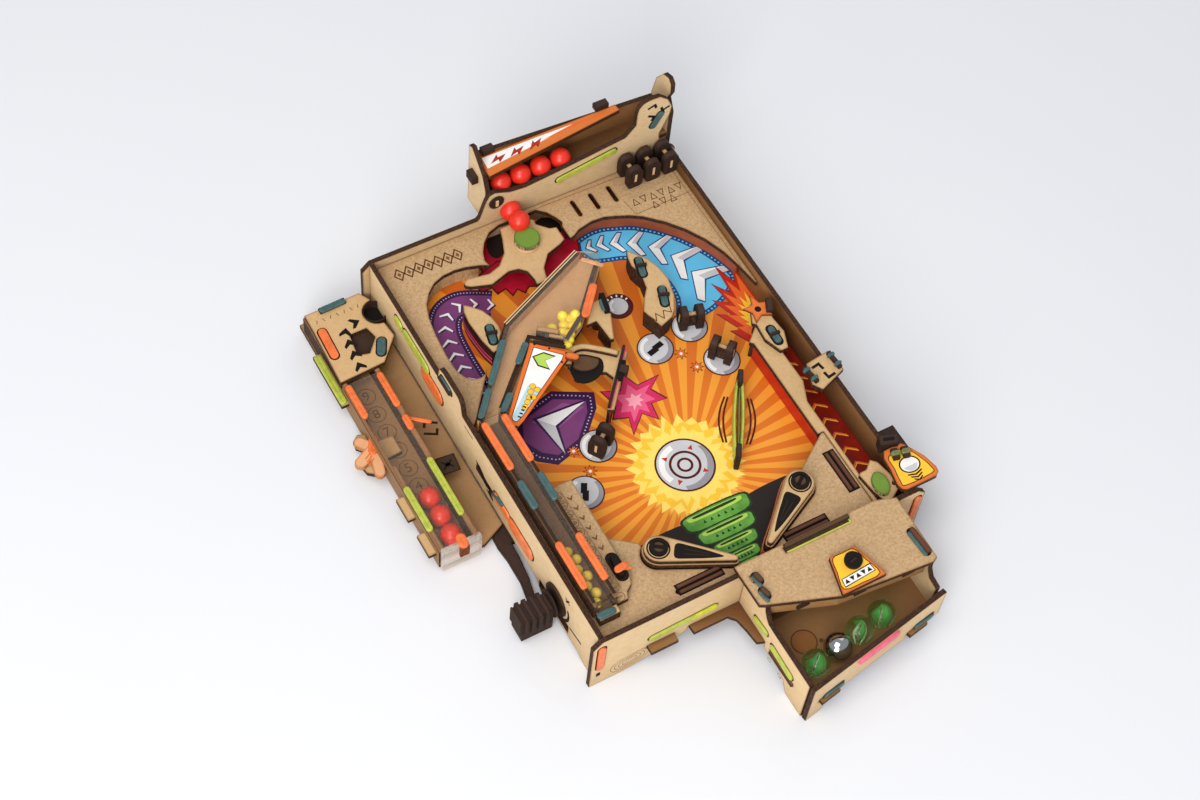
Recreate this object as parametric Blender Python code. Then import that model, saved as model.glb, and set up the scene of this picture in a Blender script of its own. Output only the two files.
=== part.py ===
"""Tabletop pinball game: a kit of laser-cut sheet parts, with its levers, pegs and marbles.

Metres, X to the right, Y to the back, Z up. The plan starts at the outer face of the left
wall and the inner face of the front wall, and one empty then centres the finished game.
"""
import math

import bmesh
import bpy
from mathutils import Matrix, Vector
from mathutils.geometry import tessellate_polygon

# Driving sizes of the case
WIDTH = 0.2044
DEPTH = 0.2736
WALL_HEIGHT = 0.0494
SHEET = 0.003
GAP = 0.0003

REFILL_LEVEL = 0.005

# How the plan is drawn: places are shares of a module, in X, in Y and in Z
WIDTH_SHARE = 2.044
DEPTH_SHARE = 2.736
WALL_HEIGHT_SHARE = 0.494
MODULE_X = WIDTH / WIDTH_SHARE
MODULE_Y = DEPTH / DEPTH_SHARE
MODULE_Z = WALL_HEIGHT / WALL_HEIGHT_SHARE

# Undersides of the boards between the walls
BASE_SHARE = 0.15
FIELD_SHARE = 0.25
DECK_SHARE = 0.40
BASE_LEVEL = BASE_SHARE * MODULE_Z
FIELD_LEVEL = FIELD_SHARE * MODULE_Z
DECK_LEVEL = DECK_SHARE * MODULE_Z

# Levels that follow
BASE_TOP = BASE_LEVEL + SHEET
FIELD_TOP = FIELD_LEVEL + SHEET
DECK_TOP = DECK_LEVEL + SHEET
GUIDE_FOOT = FIELD_TOP + GAP
GUIDE_TOP = DECK_LEVEL - GAP
LEVER_FOOT = DECK_TOP + GAP
LEVER_TOP = LEVER_FOOT + SHEET
COVER_FOOT = WALL_HEIGHT + GAP
COVER_TOP = COVER_FOOT + SHEET

# The clear box inside the four walls
IN_LEFT = SHEET + GAP
IN_RIGHT = WIDTH - SHEET - GAP
IN_FRONT = GAP
IN_BACK = DEPTH - GAP

# Running parts
SHAFT_RADIUS = 0.0025
RUNNING_GAP = 0.0003
ROUND_STEPS = 20
FINE_STEPS = 32

FINISHES = {
    "ply": ((0.74, 0.55, 0.35), 0.55, 0.0),
    "fibreboard": ((0.50, 0.33, 0.19), 0.65, 0.0),
    "dark_board": ((0.055, 0.035, 0.025), 0.60, 0.0),
    "print": ((0.85, 0.33, 0.04), 0.45, 0.0),
    "clear": ((0.85, 0.87, 0.88), 0.08, 0.0),
    "glass": ((0.20, 0.55, 0.30), 0.05, 0.0),
    "steel": ((0.55, 0.56, 0.58), 0.15, 1.0),
}


def finish(name):
    """The named finish as a material, made once."""
    known = bpy.data.materials.get(name)
    if known:
        return known
    colour, roughness, metallic = FINISHES[name]
    material = bpy.data.materials.new(name)
    material.use_nodes = True
    shader = material.node_tree.nodes["Principled BSDF"]
    shader.inputs["Base Color"].default_value = (*colour, 1)
    shader.inputs["Roughness"].default_value = roughness
    shader.inputs["Metallic"].default_value = metallic
    return material


# Outlines in the plan

def plan(shares):
    """Places of the plan, in metres, from their shares of the modules."""
    return [(x * MODULE_X, y * MODULE_Y) for x, y in shares]


def spot(share):
    """One place of the plan."""
    return plan([share])[0]


def inside_walls(points):
    """The outline with every point kept clear of the four walls."""
    return [(min(max(x, IN_LEFT), IN_RIGHT), min(max(y, IN_FRONT), IN_BACK)) for x, y in points]


def arc(centre, radius, start, end, steps):
    """Points on an arc, angles in degrees."""
    angles = [math.radians(start + (end - start) * i / steps) for i in range(steps + 1)]
    return [(centre[0] + radius * math.cos(a), centre[1] + radius * math.sin(a)) for a in angles]


def circle(centre, radius, steps=ROUND_STEPS):
    """A closed ring of points."""
    return arc(centre, radius, 0, 360, steps)[:-1]


def along(start, end):
    """Unit vector from start to end, its left-hand normal, and the distance."""
    dx, dy = end[0] - start[0], end[1] - start[1]
    length = math.hypot(dx, dy)
    return (dx / length, dy / length), (-dy / length, dx / length), length


def offset_path(path, distance):
    """The path moved sideways to its left, with mitred corners."""
    moved = []
    for i, point in enumerate(path):
        before = along(path[i - 1], point)[1] if i else None
        after = along(point, path[i + 1])[1] if i + 1 < len(path) else None
        first, second = before or after, after or before
        cosine = 1 + first[0] * second[0] + first[1] * second[1]
        moved.append((point[0] + distance * (first[0] + second[0]) / cosine,
                      point[1] + distance * (first[1] + second[1]) / cosine))
    return moved


def band(path, thickness):
    """A strip of the given thickness on the left of a path."""
    return path + offset_path(path, thickness)[::-1]


def slot_hole(centre, length, width, angle=0):
    """A slot with round ends, its long way at an angle from X."""
    turn = math.radians(angle)
    reach = (length - width) / 2
    ends = [(centre[0] + side * reach * math.cos(turn), centre[1] + side * reach * math.sin(turn))
            for side in (1, -1)]
    half = ROUND_STEPS // 4
    return (arc(ends[0], width / 2, angle - 90, angle + 90, half)
            + arc(ends[1], width / 2, angle + 90, angle + 270, half))


def box_outline(x0, x1, y0, y1):
    """A rectangle."""
    return [(x0, y0), (x1, y0), (x1, y1), (x0, y1)]


def grown(points, distance):
    """A closed outline moved outwards, or inwards with a negative distance."""
    area = sum(a[0] * b[1] - b[0] * a[1] for a, b in zip(points, points[1:] + points[:1]))
    ring = points if area < 0 else points[::-1]
    closed = [ring[-1]] + ring + [ring[0]]
    moved = offset_path(closed, distance)[1:-1]
    return moved if area < 0 else moved[::-1]


def teardrop(pivot, tip, big, small):
    """Round at the pivot, narrowing to a smaller round at the tip."""
    heading = math.degrees(math.atan2(tip[1] - pivot[1], tip[0] - pivot[0]))
    spread = 90 - math.degrees(math.asin((big - small) / math.dist(pivot, tip)))
    spread = 180 - spread
    return (arc(pivot, big, heading + 180 - spread, heading + 180 + spread, ROUND_STEPS // 2)
            + arc(tip, small, heading - 180 + spread, heading + 180 - spread, ROUND_STEPS // 4))


# Solids

class Shell:
    """Collects the loops, walls and caps of one closed solid."""

    def __init__(self):
        self.points = []
        self.faces = []

    def loop(self, outline, level):
        """Adds a ring of points at a level and returns their numbers."""
        first = len(self.points)
        self.points += [(x, y, level) for x, y in outline]
        return list(range(first, len(self.points)))

    def wall(self, outline, low, high):
        """Adds the upright faces of an outline between two levels."""
        bottom, top = self.loop(outline, low), self.loop(outline, high)
        for i in range(len(outline)):
            j = (i + 1) % len(outline)
            self.faces.append((bottom[i], bottom[j], top[j], top[i]))

    def cap(self, outline, holes, level):
        """Adds a level face with holes in it."""
        numbers, rings = [], []
        for ring in [outline, *holes]:
            numbers += self.loop(ring, level)
            rings.append([Vector((x, y, 0)) for x, y in ring])
        self.faces += [tuple(numbers[i] for i in face) for face in tessellate_polygon(rings)]

    def stack(self, layers, closed=True):
        """Adds layers of (outline, low, high), each outline inside the next or round it."""
        outlines = [layer[0] for layer in layers]
        if closed:
            self.cap(outlines[0], [], layers[0][1])
        for i, (outline, low, high) in enumerate(layers):
            self.wall(outline, low, high)
            if i + 1 < len(layers):
                outer, inner = sorted((outline, outlines[i + 1]), key=reach_of, reverse=True)
                self.cap(outer, [inner], high)
        self.cap(outlines[-1], [], layers[-1][2])


def reach_of(outline):
    """How far an outline spreads, to tell which of two is the outer one."""
    xs, ys = [p[0] for p in outline], [p[1] for p in outline]
    return (max(xs) - min(xs)) * (max(ys) - min(ys))


FLAT = Matrix.Identity(4)
ACROSS_Y = Matrix(((1, 0, 0, 0), (0, 0, 1, 0), (0, 1, 0, 0), (0, 0, 0, 1)))
ACROSS_X = Matrix(((0, 0, 1, 0), (1, 0, 0, 0), (0, 1, 0, 0), (0, 0, 0, 1)))


def standing(start, end):
    """Frame of a plate that stands on a line of the plan: along it, up, and to its left."""
    heading, normal, _ = along(start, end)
    return Matrix(((heading[0], 0, normal[0], start[0]),
                   (heading[1], 0, normal[1], start[1]),
                   (0, 1, 0, 0),
                   (0, 0, 0, 1)))


def place(name, shell, material, frame=FLAT, joint=None, smooth=False):
    """Makes the object, with its origin on its joint's axis if it has one."""
    origin = Vector((*joint, 0)) if joint else Vector()
    mesh = bpy.data.meshes.new(name)
    mesh.from_pydata([frame @ Vector(p) - origin for p in shell.points], [], shell.faces)
    work = bmesh.new()
    work.from_mesh(mesh)
    bmesh.ops.remove_doubles(work, verts=work.verts, dist=GAP / FINE_STEPS)
    bmesh.ops.recalc_face_normals(work, faces=work.faces)
    work.to_mesh(mesh)
    work.free()
    if smooth:
        mesh.shade_smooth()
        mesh.set_sharp_from_angle(angle=math.radians(SHARP_ANGLE))
    mesh.materials.append(finish(material))
    made = bpy.data.objects.new(name, mesh)
    made.location = origin
    made.parent = GAME
    bpy.context.collection.objects.link(made)
    return made


def board(name, outline, low, high, material, holes=(), up=(), down=(), frame=FLAT, joint=None):
    """A plate with holes, and with stacks of layers standing on it or hanging from it."""
    shell = Shell()
    shell.cap(outline, [*holes, *(stack[0][0] for stack in down)], low)
    shell.cap(outline, [*holes, *(stack[0][0] for stack in up)], high)
    for ring in [outline, *holes]:
        shell.wall(ring, low, high)
    for stack in [*up, *down]:
        shell.stack(stack, closed=False)
    return place(name, shell, material, frame, joint)


def tower(name, layers, material, frame=FLAT, joint=None, smooth=False):
    """A solid of stacked layers."""
    shell = Shell()
    shell.stack(layers)
    return place(name, shell, material, frame, joint, smooth)


SHARP_ANGLE = 40

# Pivots in the plan, as shares of the modules
LEFT_FLIPPER_SHARE = (0.555, 0.325)
RIGHT_FLIPPER_SHARE = (1.470, 0.325)
LAUNCHER_SHARE = (1.869, 0.110)
RESET_SHARE = (1.428, -0.259)
RELEASE_SHARE = (0.925, 2.505)
DEFLECTOR_SHARE = (1.880, 1.410)
ROCKER_SHARE = (0.785, 1.600)
BONUS_SHARE = (1.060, 1.875)
LEFT_BUTTON_SHARE = (0.075, 1.010)
RIGHT_BUTTON_SHARE = (1.969, 1.010)

# Pegs: where they stand and how their long way is turned, in degrees
PLUGGED_PEGS_SHARES = ((1.550, 1.630, 15), (1.600, 1.340, -35), (0.660, 1.140, 45))
PEG_LENGTH = 0.0135
PEG_FLANGE = 0.009
PEG_HEIGHT = 0.0160
PEG_TONGUE = 0.0090
PEG_FIT = 0.0004
STORED_PEGS = 3
STORED_PEG_PITCH = 0.0125
STORED_PEG_ROW_SHARE = 2.655
STORED_PEG_TURN = 90
WALL_ROOM = 0.0001

FREE_SLOTS_SHARES = ((1.290, 1.580, 12), (0.445, 0.920, 55))
STORE_SLOTS_SHARES = ((1.315, 2.600, 90), (1.440, 2.600, 90), (1.565, 2.600, 90))
STORE_SLOT_LENGTH = 0.013
STORE_SLOT_WIDTH = 0.0026


def shaft_hole(share):
    """The bore of a board for a lever's shaft."""
    return circle(spot(share), SHAFT_RADIUS + RUNNING_GAP)


def shaft(share, top, foot=FIELD_LEVEL):
    """A lever's shaft, hanging from it down to the foot level."""
    return [(circle(spot(share), SHAFT_RADIUS), top, foot)]


def peg_slot(place_and_turn, length=PEG_TONGUE + 2 * PEG_FIT, width=SHEET):
    """The slot that takes a peg's tongue."""
    x, y, turn = place_and_turn
    return turned(box_outline(-length / 2, length / 2, -width / 2, width / 2), spot((x, y)), turn)


def stored_pegs():
    """Places and turns of the spare pegs, in a row counted from the right wall."""
    last = IN_RIGHT - PEG_FLANGE / 2 - WALL_ROOM
    places = [last - (STORED_PEGS - number) * STORED_PEG_PITCH for number in range(1, STORED_PEGS + 1)]
    return [(x / MODULE_X, STORED_PEG_ROW_SHARE, STORED_PEG_TURN) for x in places]


def turned(points, centre, angle):
    """An outline turned about its own origin and moved to a centre."""
    c, s = math.cos(math.radians(angle)), math.sin(math.radians(angle))
    return [(centre[0] + x * c - y * s, centre[1] + x * s + y * c) for x, y in points]


# Case: base, playing field and walls

TRAY_LEFT = 0.895 * MODULE_X
TRAY_RIGHT = 1.830 * MODULE_X
TRAY_FRONT_SHARES = ((0.900, -0.724), (1.870, -0.554))
TRAY_TABS_SHARE = (0.071, 0.203, 0.731, 0.863)
TRAY_TAB_REACH = 0.0055
BASE_TAB_SHARE = (0.310, 0.480, -0.080)
WALL_LAP = 0.0044
FOOT_SHARES = ((-0.044, 0.0), (0.14, 0.0), (0.30, 0.16), (0.50, 0.49), (0.565, 0.80))
RIGHT_FOOT_SHARES = ((1.85, 0.55), (1.92, 0.22), (2.00, 0.0), (2.088, 0.0))
PASS_SHARE = (0.575, 1.760)
BRACKET_SHARES = ((0.58, -0.08), (0.795, -0.08), (0.83, -0.12), (0.845, -0.20), (0.855, -0.29), (0.895, -0.305))
TRAY_SIDE_TAB_SHARE = (-0.595, -0.365)
TRAY_SIDE_TAB_REACH = 0.0010


def tray_front_point(distance, outwards=0.0):
    """A point by its distance along the tray's front wall and out from its inner face."""
    start, end = plan(TRAY_FRONT_SHARES)
    heading, normal, _ = along(start, end)
    return (start[0] + distance * heading[0] - outwards * normal[0],
            start[1] + distance * heading[1] - outwards * normal[1])


def tray_front_at(x, inwards=GAP):
    """The point of the tray's front inner face at x, moved inwards."""
    start, end = plan(TRAY_FRONT_SHARES)
    heading, normal, _ = along(start, end)
    y = start[1] + (x - start[0]) * heading[1] / heading[0]
    return (x, y + inwards / normal[1])


def tray_tabs():
    """Start and end of each front tab, along the tray's front wall."""
    ends = [share * MODULE_X for share in TRAY_TABS_SHARE]
    return list(zip(ends[::2], ends[1::2]))


def base_outline():
    """The base with its front bracket, the tray floor and their tabs."""
    floor_left = TRAY_LEFT + SHEET + GAP
    floor_right = TRAY_RIGHT - GAP
    tab_left, tab_right, tab_front = BASE_TAB_SHARE
    pass_left, pass_right = (share * MODULE_X for share in PASS_SHARE)
    tab_low, tab_high = (share * MODULE_Y for share in TRAY_SIDE_TAB_SHARE)
    behind_wall = -SHEET - GAP
    outline = [(IN_LEFT, IN_BACK), (IN_LEFT, IN_FRONT)]
    outline += [(tab_left * MODULE_X, IN_FRONT), (tab_left * MODULE_X, tab_front * MODULE_Y),
                (tab_right * MODULE_X, tab_front * MODULE_Y), (tab_right * MODULE_X, IN_FRONT)]
    outline += [(pass_left + GAP, IN_FRONT), (pass_left + GAP, behind_wall)]
    outline += plan(BRACKET_SHARES)
    outline += [(floor_left, BRACKET_SHARES[-1][1] * MODULE_Y), (floor_left, tab_high)]
    outline += [(TRAY_LEFT - TRAY_SIDE_TAB_REACH, tab_high), (TRAY_LEFT - TRAY_SIDE_TAB_REACH, tab_low),
                (floor_left, tab_low)]
    outline.append(tray_front_at(floor_left))
    for start, end in tray_tabs():
        outline += [tray_front_point(start, -GAP), tray_front_point(start, TRAY_TAB_REACH),
                    tray_front_point(end, TRAY_TAB_REACH), tray_front_point(end, -GAP)]
    outline += [tray_front_at(floor_right), (floor_right, behind_wall)]
    outline += [(pass_right - GAP, behind_wall), (pass_right - GAP, IN_FRONT)]
    outline += [(IN_RIGHT, IN_FRONT), (IN_RIGHT, IN_BACK)]
    return outline


DRAIN_SHARE = (0.88, 1.18, 0.12)
MARBLE_GATE_SHARE = (0.94, 1.22)
MARBLE_GATE_TOP_SHARE = 0.38


def field_outline():
    """The playing field, notched at the front where marbles drain."""
    left, right, back = DRAIN_SHARE
    return inside_walls([(0, DEPTH), (0, 0)]) + [
        (left * MODULE_X, IN_FRONT), (left * MODULE_X, back * MODULE_Y),
        (right * MODULE_X, back * MODULE_Y), (right * MODULE_X, IN_FRONT),
    ] + inside_walls([(WIDTH, 0), (WIDTH, DEPTH)])


def build_boards():
    """The base and the playing field."""
    board("base_plate", base_outline(), BASE_LEVEL, BASE_TOP, "fibreboard")
    turning = (LEFT_FLIPPER_SHARE, RIGHT_FLIPPER_SHARE, LAUNCHER_SHARE, RELEASE_SHARE,
               DEFLECTOR_SHARE, ROCKER_SHARE, BONUS_SHARE)
    holes = [shaft_hole(share) for share in turning]
    holes += [peg_slot(peg) for peg in PLUGGED_PEGS_SHARES + FREE_SLOTS_SHARES]
    board("playfield_board", field_outline(), FIELD_LEVEL, FIELD_TOP, "print", holes)


COVER_TAB_SHARE = (1.15, 1.56)
TAB_RISE = 0.0042
LAP_TOP_SHARE = 0.44
LAP_BEVEL_SHARE = -0.01


def front_wall_outline():
    """The front wall: feet, the way under it, the marble gate and the cover's tab."""
    under = BASE_TOP + GAP
    feet = [(x * MODULE_X, z * under) for x, z in FOOT_SHARES]
    right_feet = [(x * MODULE_X, z * under) for x, z in RIGHT_FOOT_SHARES]
    pass_left, pass_right = (share * MODULE_X for share in PASS_SHARE)
    gate_left, gate_right = (share * MODULE_X for share in MARBLE_GATE_SHARE)
    gate_top = MARBLE_GATE_TOP_SHARE * MODULE_Z
    tab_left, tab_right = (share * MODULE_X for share in COVER_TAB_SHARE)
    lap_top = LAP_TOP_SHARE * MODULE_Z
    left_end, right_end = -WALL_LAP, WIDTH + WALL_LAP
    bevel = WALL_HEIGHT - lap_top
    return (feet[1:] + [(pass_left, under), (gate_left, under), (gate_left, gate_top), (gate_right, gate_top),
                        (gate_right, under), (pass_right, under)] + right_feet[:-1]
            + [(right_end, 0), (right_end, lap_top), (right_end - bevel, WALL_HEIGHT),
               (tab_right, WALL_HEIGHT), (tab_right, WALL_HEIGHT + TAB_RISE),
               (tab_left, WALL_HEIGHT + TAB_RISE), (tab_left, WALL_HEIGHT),
               (left_end + bevel, WALL_HEIGHT), (left_end, lap_top), (left_end, 0)])


BACK_HEAD_SHARES = ((1.97, 0.494), (1.952, 0.646), (2.011, 0.80), (2.02, 0.866), (1.985, 0.945),
                    (1.927, 0.997), (1.86, 1.0), (1.812, 0.988), (1.785, 0.955), (1.777, 0.908),
                    (1.776, 0.811), (1.709, 0.733), (1.313, 0.675), (1.034, 0.642), (0.93, 0.655),
                    (0.827, 0.701), (0.79, 0.69), (0.768, 0.647), (0.73, 0.514), (0.715, 0.494))
BACK_FEET_SHARES = ((0.14, 0.0), (0.24, 0.10), (1.80, 0.10), (1.90, 0.0))


def back_wall_outline():
    """The back wall with its raised head, which screens the ball tower."""
    lap_top = LAP_TOP_SHARE * MODULE_Z
    bevel = WALL_HEIGHT - lap_top
    left_end, right_end = -WALL_LAP, WIDTH + WALL_LAP
    head = [(x * MODULE_X, z * MODULE_Z) for x, z in BACK_HEAD_SHARES]
    feet = [(x * MODULE_X, z * MODULE_Z) for x, z in BACK_FEET_SHARES]
    return ([(left_end, 0)] + feet + [(right_end, 0), (right_end, lap_top), (right_end - bevel, WALL_HEIGHT)]
            + head + [(left_end + bevel, WALL_HEIGHT), (left_end, lap_top)])


SIDE_TOP_SHARES = ((1.86, 0.494), (1.84, 0.60), (1.80, 0.615), (1.61, 0.615), (1.58, 0.58), (1.56, 0.494))
SIDE_FEET_SHARES = ((0.12, 0.0), (0.18, 0.025), (0.60, 0.025), (0.65, 0.09), (2.40, 0.09), (2.52, 0.0))
LEFT_WINDOWS_SHARES = (((0.29, 0.05), (0.62, 0.05), (0.62, 0.13), (0.29, 0.13)),
                       ((1.15, 0.19), (1.38, 0.19), (1.38, 0.24), (1.15, 0.24)))
RIGHT_WINDOW_SHARES = (((0.29, 0.05), (0.62, 0.05), (0.62, 0.13), (0.29, 0.13)),)


def side_wall(name, x, top_shares, window_shares):
    """A side wall: feet, arched underside, windows, and what rises above its top."""
    feet = [(y * MODULE_Y, z * MODULE_Z) for y, z in SIDE_FEET_SHARES]
    crest = [(y * MODULE_Y, z * MODULE_Z) for y, z in top_shares]
    outline = [(IN_FRONT, 0)] + feet + [(IN_BACK, 0), (IN_BACK, WALL_HEIGHT)] + crest + [(IN_FRONT, WALL_HEIGHT)]
    windows = [[(y * MODULE_Y, z * MODULE_Z) for y, z in window] for window in window_shares]
    board(name, outline, x, x + SHEET, "ply", windows, frame=ACROSS_X)


def build_walls():
    """The four walls of the case."""
    tab_left, tab_right, _ = BASE_TAB_SHARE
    slot = box_outline(tab_left * MODULE_X - GAP, tab_right * MODULE_X + GAP, BASE_LEVEL - GAP, BASE_TOP + GAP)
    board("front_wall", front_wall_outline(), -SHEET, 0, "ply", [slot], frame=ACROSS_Y)
    board("back_wall", back_wall_outline(), DEPTH, DEPTH + SHEET, "ply", frame=ACROSS_Y)
    side_wall("left_wall", 0, SIDE_TOP_SHARES, LEFT_WINDOWS_SHARES)
    side_wall("right_wall", WIDTH - SHEET, (), RIGHT_WINDOW_SHARES)


# Boards at deck level and the guides under them

TOP_BOARD_SHARES = (
    (0.0, 1.50), (0.0, 2.74), (2.05, 2.74), (2.05, 1.64), (2.00, 1.64), (1.98, 1.78), (1.95, 1.92),
    (1.90, 2.05), (1.83, 2.17), (1.75, 2.27), (1.65, 2.365), (1.58, 2.41), (1.50, 2.445), (1.43, 2.47),
    (1.35, 2.475), (1.25, 2.455), (1.21, 2.43), (1.175, 2.42), (1.175, 2.52), (1.19, 2.55), (1.17, 2.60),
    (1.14, 2.655), (1.09, 2.70), (0.84, 2.70), (0.76, 2.675), (0.70, 2.62), (0.66, 2.56), (0.64, 2.50),
    (0.65, 2.46), (0.60, 2.485), (0.52, 2.51), (0.45, 2.52), (0.37, 2.515), (0.30, 2.49), (0.24, 2.44),
    (0.19, 2.37), (0.16, 2.28), (0.14, 2.15), (0.13, 2.00), (0.135, 1.88), (0.16, 1.82), (0.20, 1.785),
    (0.24, 1.78), (0.28, 1.795), (0.31, 1.84), (0.07, 1.53))
LEFT_GUIDE_SHARES = ((0.125, 1.88), (0.12, 2.00), (0.13, 2.155), (0.15, 2.29), (0.18, 2.38), (0.235, 2.455),
                     (0.295, 2.503), (0.37, 2.528), (0.455, 2.533), (0.525, 2.523), (0.60, 2.50))
ARCH_GUIDE_SHARES = ((1.25, 2.465), (1.35, 2.487), (1.435, 2.482), (1.505, 2.458), (1.587, 2.424),
                     (1.657, 2.38), (1.757, 2.285), (1.837, 2.185), (1.907, 2.06), (1.957, 1.93), (1.975, 1.83))
ISLAND_SHARES = ((0.38, 2.275), (0.36, 2.23), (0.35, 2.15), (0.36, 2.00), (0.38, 1.90), (0.405, 1.905),
                 (0.485, 2.005), (0.495, 2.05), (0.485, 2.13), (0.46, 2.19), (0.42, 2.24))
GUIDE_PLATE_SHARES = (
    (1.43, 2.19), (1.47, 2.14), (1.51, 2.09), (1.54, 2.00), (1.55, 1.90), (1.52, 1.78), (1.47, 1.69),
    (1.43, 1.65), (1.34, 1.62), (1.30, 1.76), (1.35, 1.84), (1.40, 1.90), (1.42, 2.00), (1.40, 2.08),
    (1.41, 2.14))
DIVIDER_SHARES = ((1.798, 0.03), (1.825, 0.03), (1.825, 0.79), (1.83, 0.80), (1.88, 0.92), (1.875, 1.35),
                  (1.84, 1.38), (1.74, 1.29), (1.76, 1.27), (1.76, 0.575), (1.798, 0.575))
EDGE_SETBACK = 0.0006


def under_edge(outline, setback=EDGE_SETBACK):
    """The wall below a plate, set back a little from its edge, down to the playing field."""
    return [[(grown(outline, -setback), DECK_LEVEL, GUIDE_FOOT)]]


def build_top_boards():
    """The board round the arch, its guides, the island and the swept guide plate."""
    slots = [slot_hole(spot(place_turn[:2]), STORE_SLOT_LENGTH, STORE_SLOT_WIDTH, place_turn[2])
             for place_turn in STORE_SLOTS_SHARES]
    slots += [peg_slot(peg) for peg in stored_pegs()]
    board("top_board", inside_walls(plan(TOP_BOARD_SHARES)), DECK_LEVEL, DECK_TOP, "fibreboard", slots)
    tower("left_lane_guide", [(band(plan(LEFT_GUIDE_SHARES), SHEET), GUIDE_FOOT, GUIDE_TOP)], "fibreboard")
    tower("arch_guide", [(band(plan(ARCH_GUIDE_SHARES), SHEET), GUIDE_FOOT, GUIDE_TOP)], "print")
    island = plan(ISLAND_SHARES)
    board("island_plate", island, DECK_LEVEL, DECK_TOP, "ply", down=under_edge(island))
    guide = plan(GUIDE_PLATE_SHARES)
    board("guide_plate", guide, DECK_LEVEL, DECK_TOP, "ply", down=under_edge(guide))
    divider = plan(DIVIDER_SHARES)
    board("lane_divider", divider, DECK_LEVEL, DECK_TOP, "ply", down=under_edge(divider))


# Flippers, and the decks that fit round them

FLIPPER_LENGTH = 0.042
FLIPPER_DROOP = 35
FLIPPER_RADIUS = 0.009
FLIPPER_TIP_RADIUS = 0.0025
BLADE_INSET = 0.0008
CAP_RADIUS = 0.0050
CAP_RISE = 0.0012
DECK_CLEARANCE = 0.0006
DECK_ARC_STEPS = 10


def flipper_tip(pivot, side):
    """Centre of a flipper's tip: side is 1 for the left one and -1 for the right one."""
    droop = math.radians(FLIPPER_DROOP)
    return (pivot[0] + side * FLIPPER_LENGTH * math.cos(droop), pivot[1] - FLIPPER_LENGTH * math.sin(droop))


def build_flipper(name, share, side):
    """A flipper: blade, middle plate and top plate on a shaft that turns in the field board."""
    pivot = spot(share)
    tip = flipper_tip(pivot, side)
    middle = teardrop(pivot, tip, FLIPPER_RADIUS, FLIPPER_TIP_RADIUS)
    blade_foot = GUIDE_FOOT + GAP
    middle_foot = DECK_TOP + 2 * GAP
    middle_top = middle_foot + SHEET
    head = middle_top + SHEET
    layers = [
        (circle(pivot, SHAFT_RADIUS), FIELD_LEVEL, blade_foot),
        (grown(middle, -BLADE_INSET), blade_foot, middle_foot),
        (middle, middle_foot, middle_top),
        (grown(middle, -BLADE_INSET), middle_top, head),
        (circle(pivot, CAP_RADIUS), head, head + CAP_RISE),
    ]
    tower(name, layers, "ply", joint=pivot)


def deck_edge(pivot, side, first, last):
    """The deck's edge round a flipper at rest: an arc, then a straight run to below the tip."""
    turns = [first + (last - first) * i / DECK_ARC_STEPS for i in range(DECK_ARC_STEPS + 1)]
    radius = FLIPPER_RADIUS + DECK_CLEARANCE
    around = [(pivot[0] + side * radius * math.cos(math.radians(t)), pivot[1] + radius * math.sin(math.radians(t)))
              for t in turns]
    tip = flipper_tip(pivot, side)
    reach = FLIPPER_TIP_RADIUS + DECK_CLEARANCE
    low = math.radians(last)
    return around + [(tip[0] + side * reach * math.cos(low), tip[1] + reach * math.sin(low))]


LEFT_DECK_SHARES = ((0.0, 0.0), (0.0, 1.38), (0.21, 1.38), (0.21, 0.62), (0.35, 0.55), (0.50, 0.43))
LEFT_DECK_NOSE_SHARES = ((0.915, 0.03), (0.915, 0.0))
RIGHT_DECK_SHARES = ((1.795, 0.0), (1.795, 0.57), (1.775, 0.57))
RIGHT_DECK_NOSE_SHARES = ((1.11, 0.03), (1.11, 0.0))
DECK_ARC_SHARES = ((125, 235), (125, 235))
DECK_SLOTS_SHARES = (((0.645, 0.075, 0), (1.385, 0.075, 0), (1.74, 0.32, 90)))
DECK_SLOT_LENGTH = 0.024
DECK_SLOT_WIDTH = 0.003


def build_decks():
    """The two decks beside the flippers and the flippers themselves."""
    left, right = spot(LEFT_FLIPPER_SHARE), spot(RIGHT_FLIPPER_SHARE)
    slots = [slot_hole(spot(place_turn[:2]), DECK_SLOT_LENGTH, DECK_SLOT_WIDTH, place_turn[2])
             for place_turn in DECK_SLOTS_SHARES]
    (first, last), (first_right, last_right) = DECK_ARC_SHARES
    outline = inside_walls(plan(LEFT_DECK_SHARES) + deck_edge(left, 1, first, last) + plan(LEFT_DECK_NOSE_SHARES))
    board("left_deck", outline, DECK_LEVEL, DECK_TOP, "fibreboard", slots[:1])
    outline = inside_walls(plan(RIGHT_DECK_SHARES) + deck_edge(right, -1, first_right, last_right)
                           + plan(RIGHT_DECK_NOSE_SHARES))
    board("right_deck", outline, DECK_LEVEL, DECK_TOP, "fibreboard", slots[1:])
    build_flipper("left_flipper", LEFT_FLIPPER_SHARE, 1)
    build_flipper("right_flipper", RIGHT_FLIPPER_SHARE, -1)


# Score channel on the left

CHANNEL_SHARE = (0.052, 0.200, 0.150, 1.460)
CHANNEL_FLOOR = 0.002
CHANNEL_RAIL = 0.0024
CHANNEL_RISE = 0.0095
RAIL_INSET = 0.00015
SCALE_SHARES = ((0.203, 0.15), (0.27, 0.15), (0.285, 0.19), (0.33, 0.22), (0.35, 0.28), (0.355, 0.94), (0.203, 0.94))
SCALE_SLOT_SHARE = (0.31, 0.35)
SCALE_SLOT_LENGTH = 0.016
SCALE_SLOT_WIDTH = 0.0045


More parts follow.
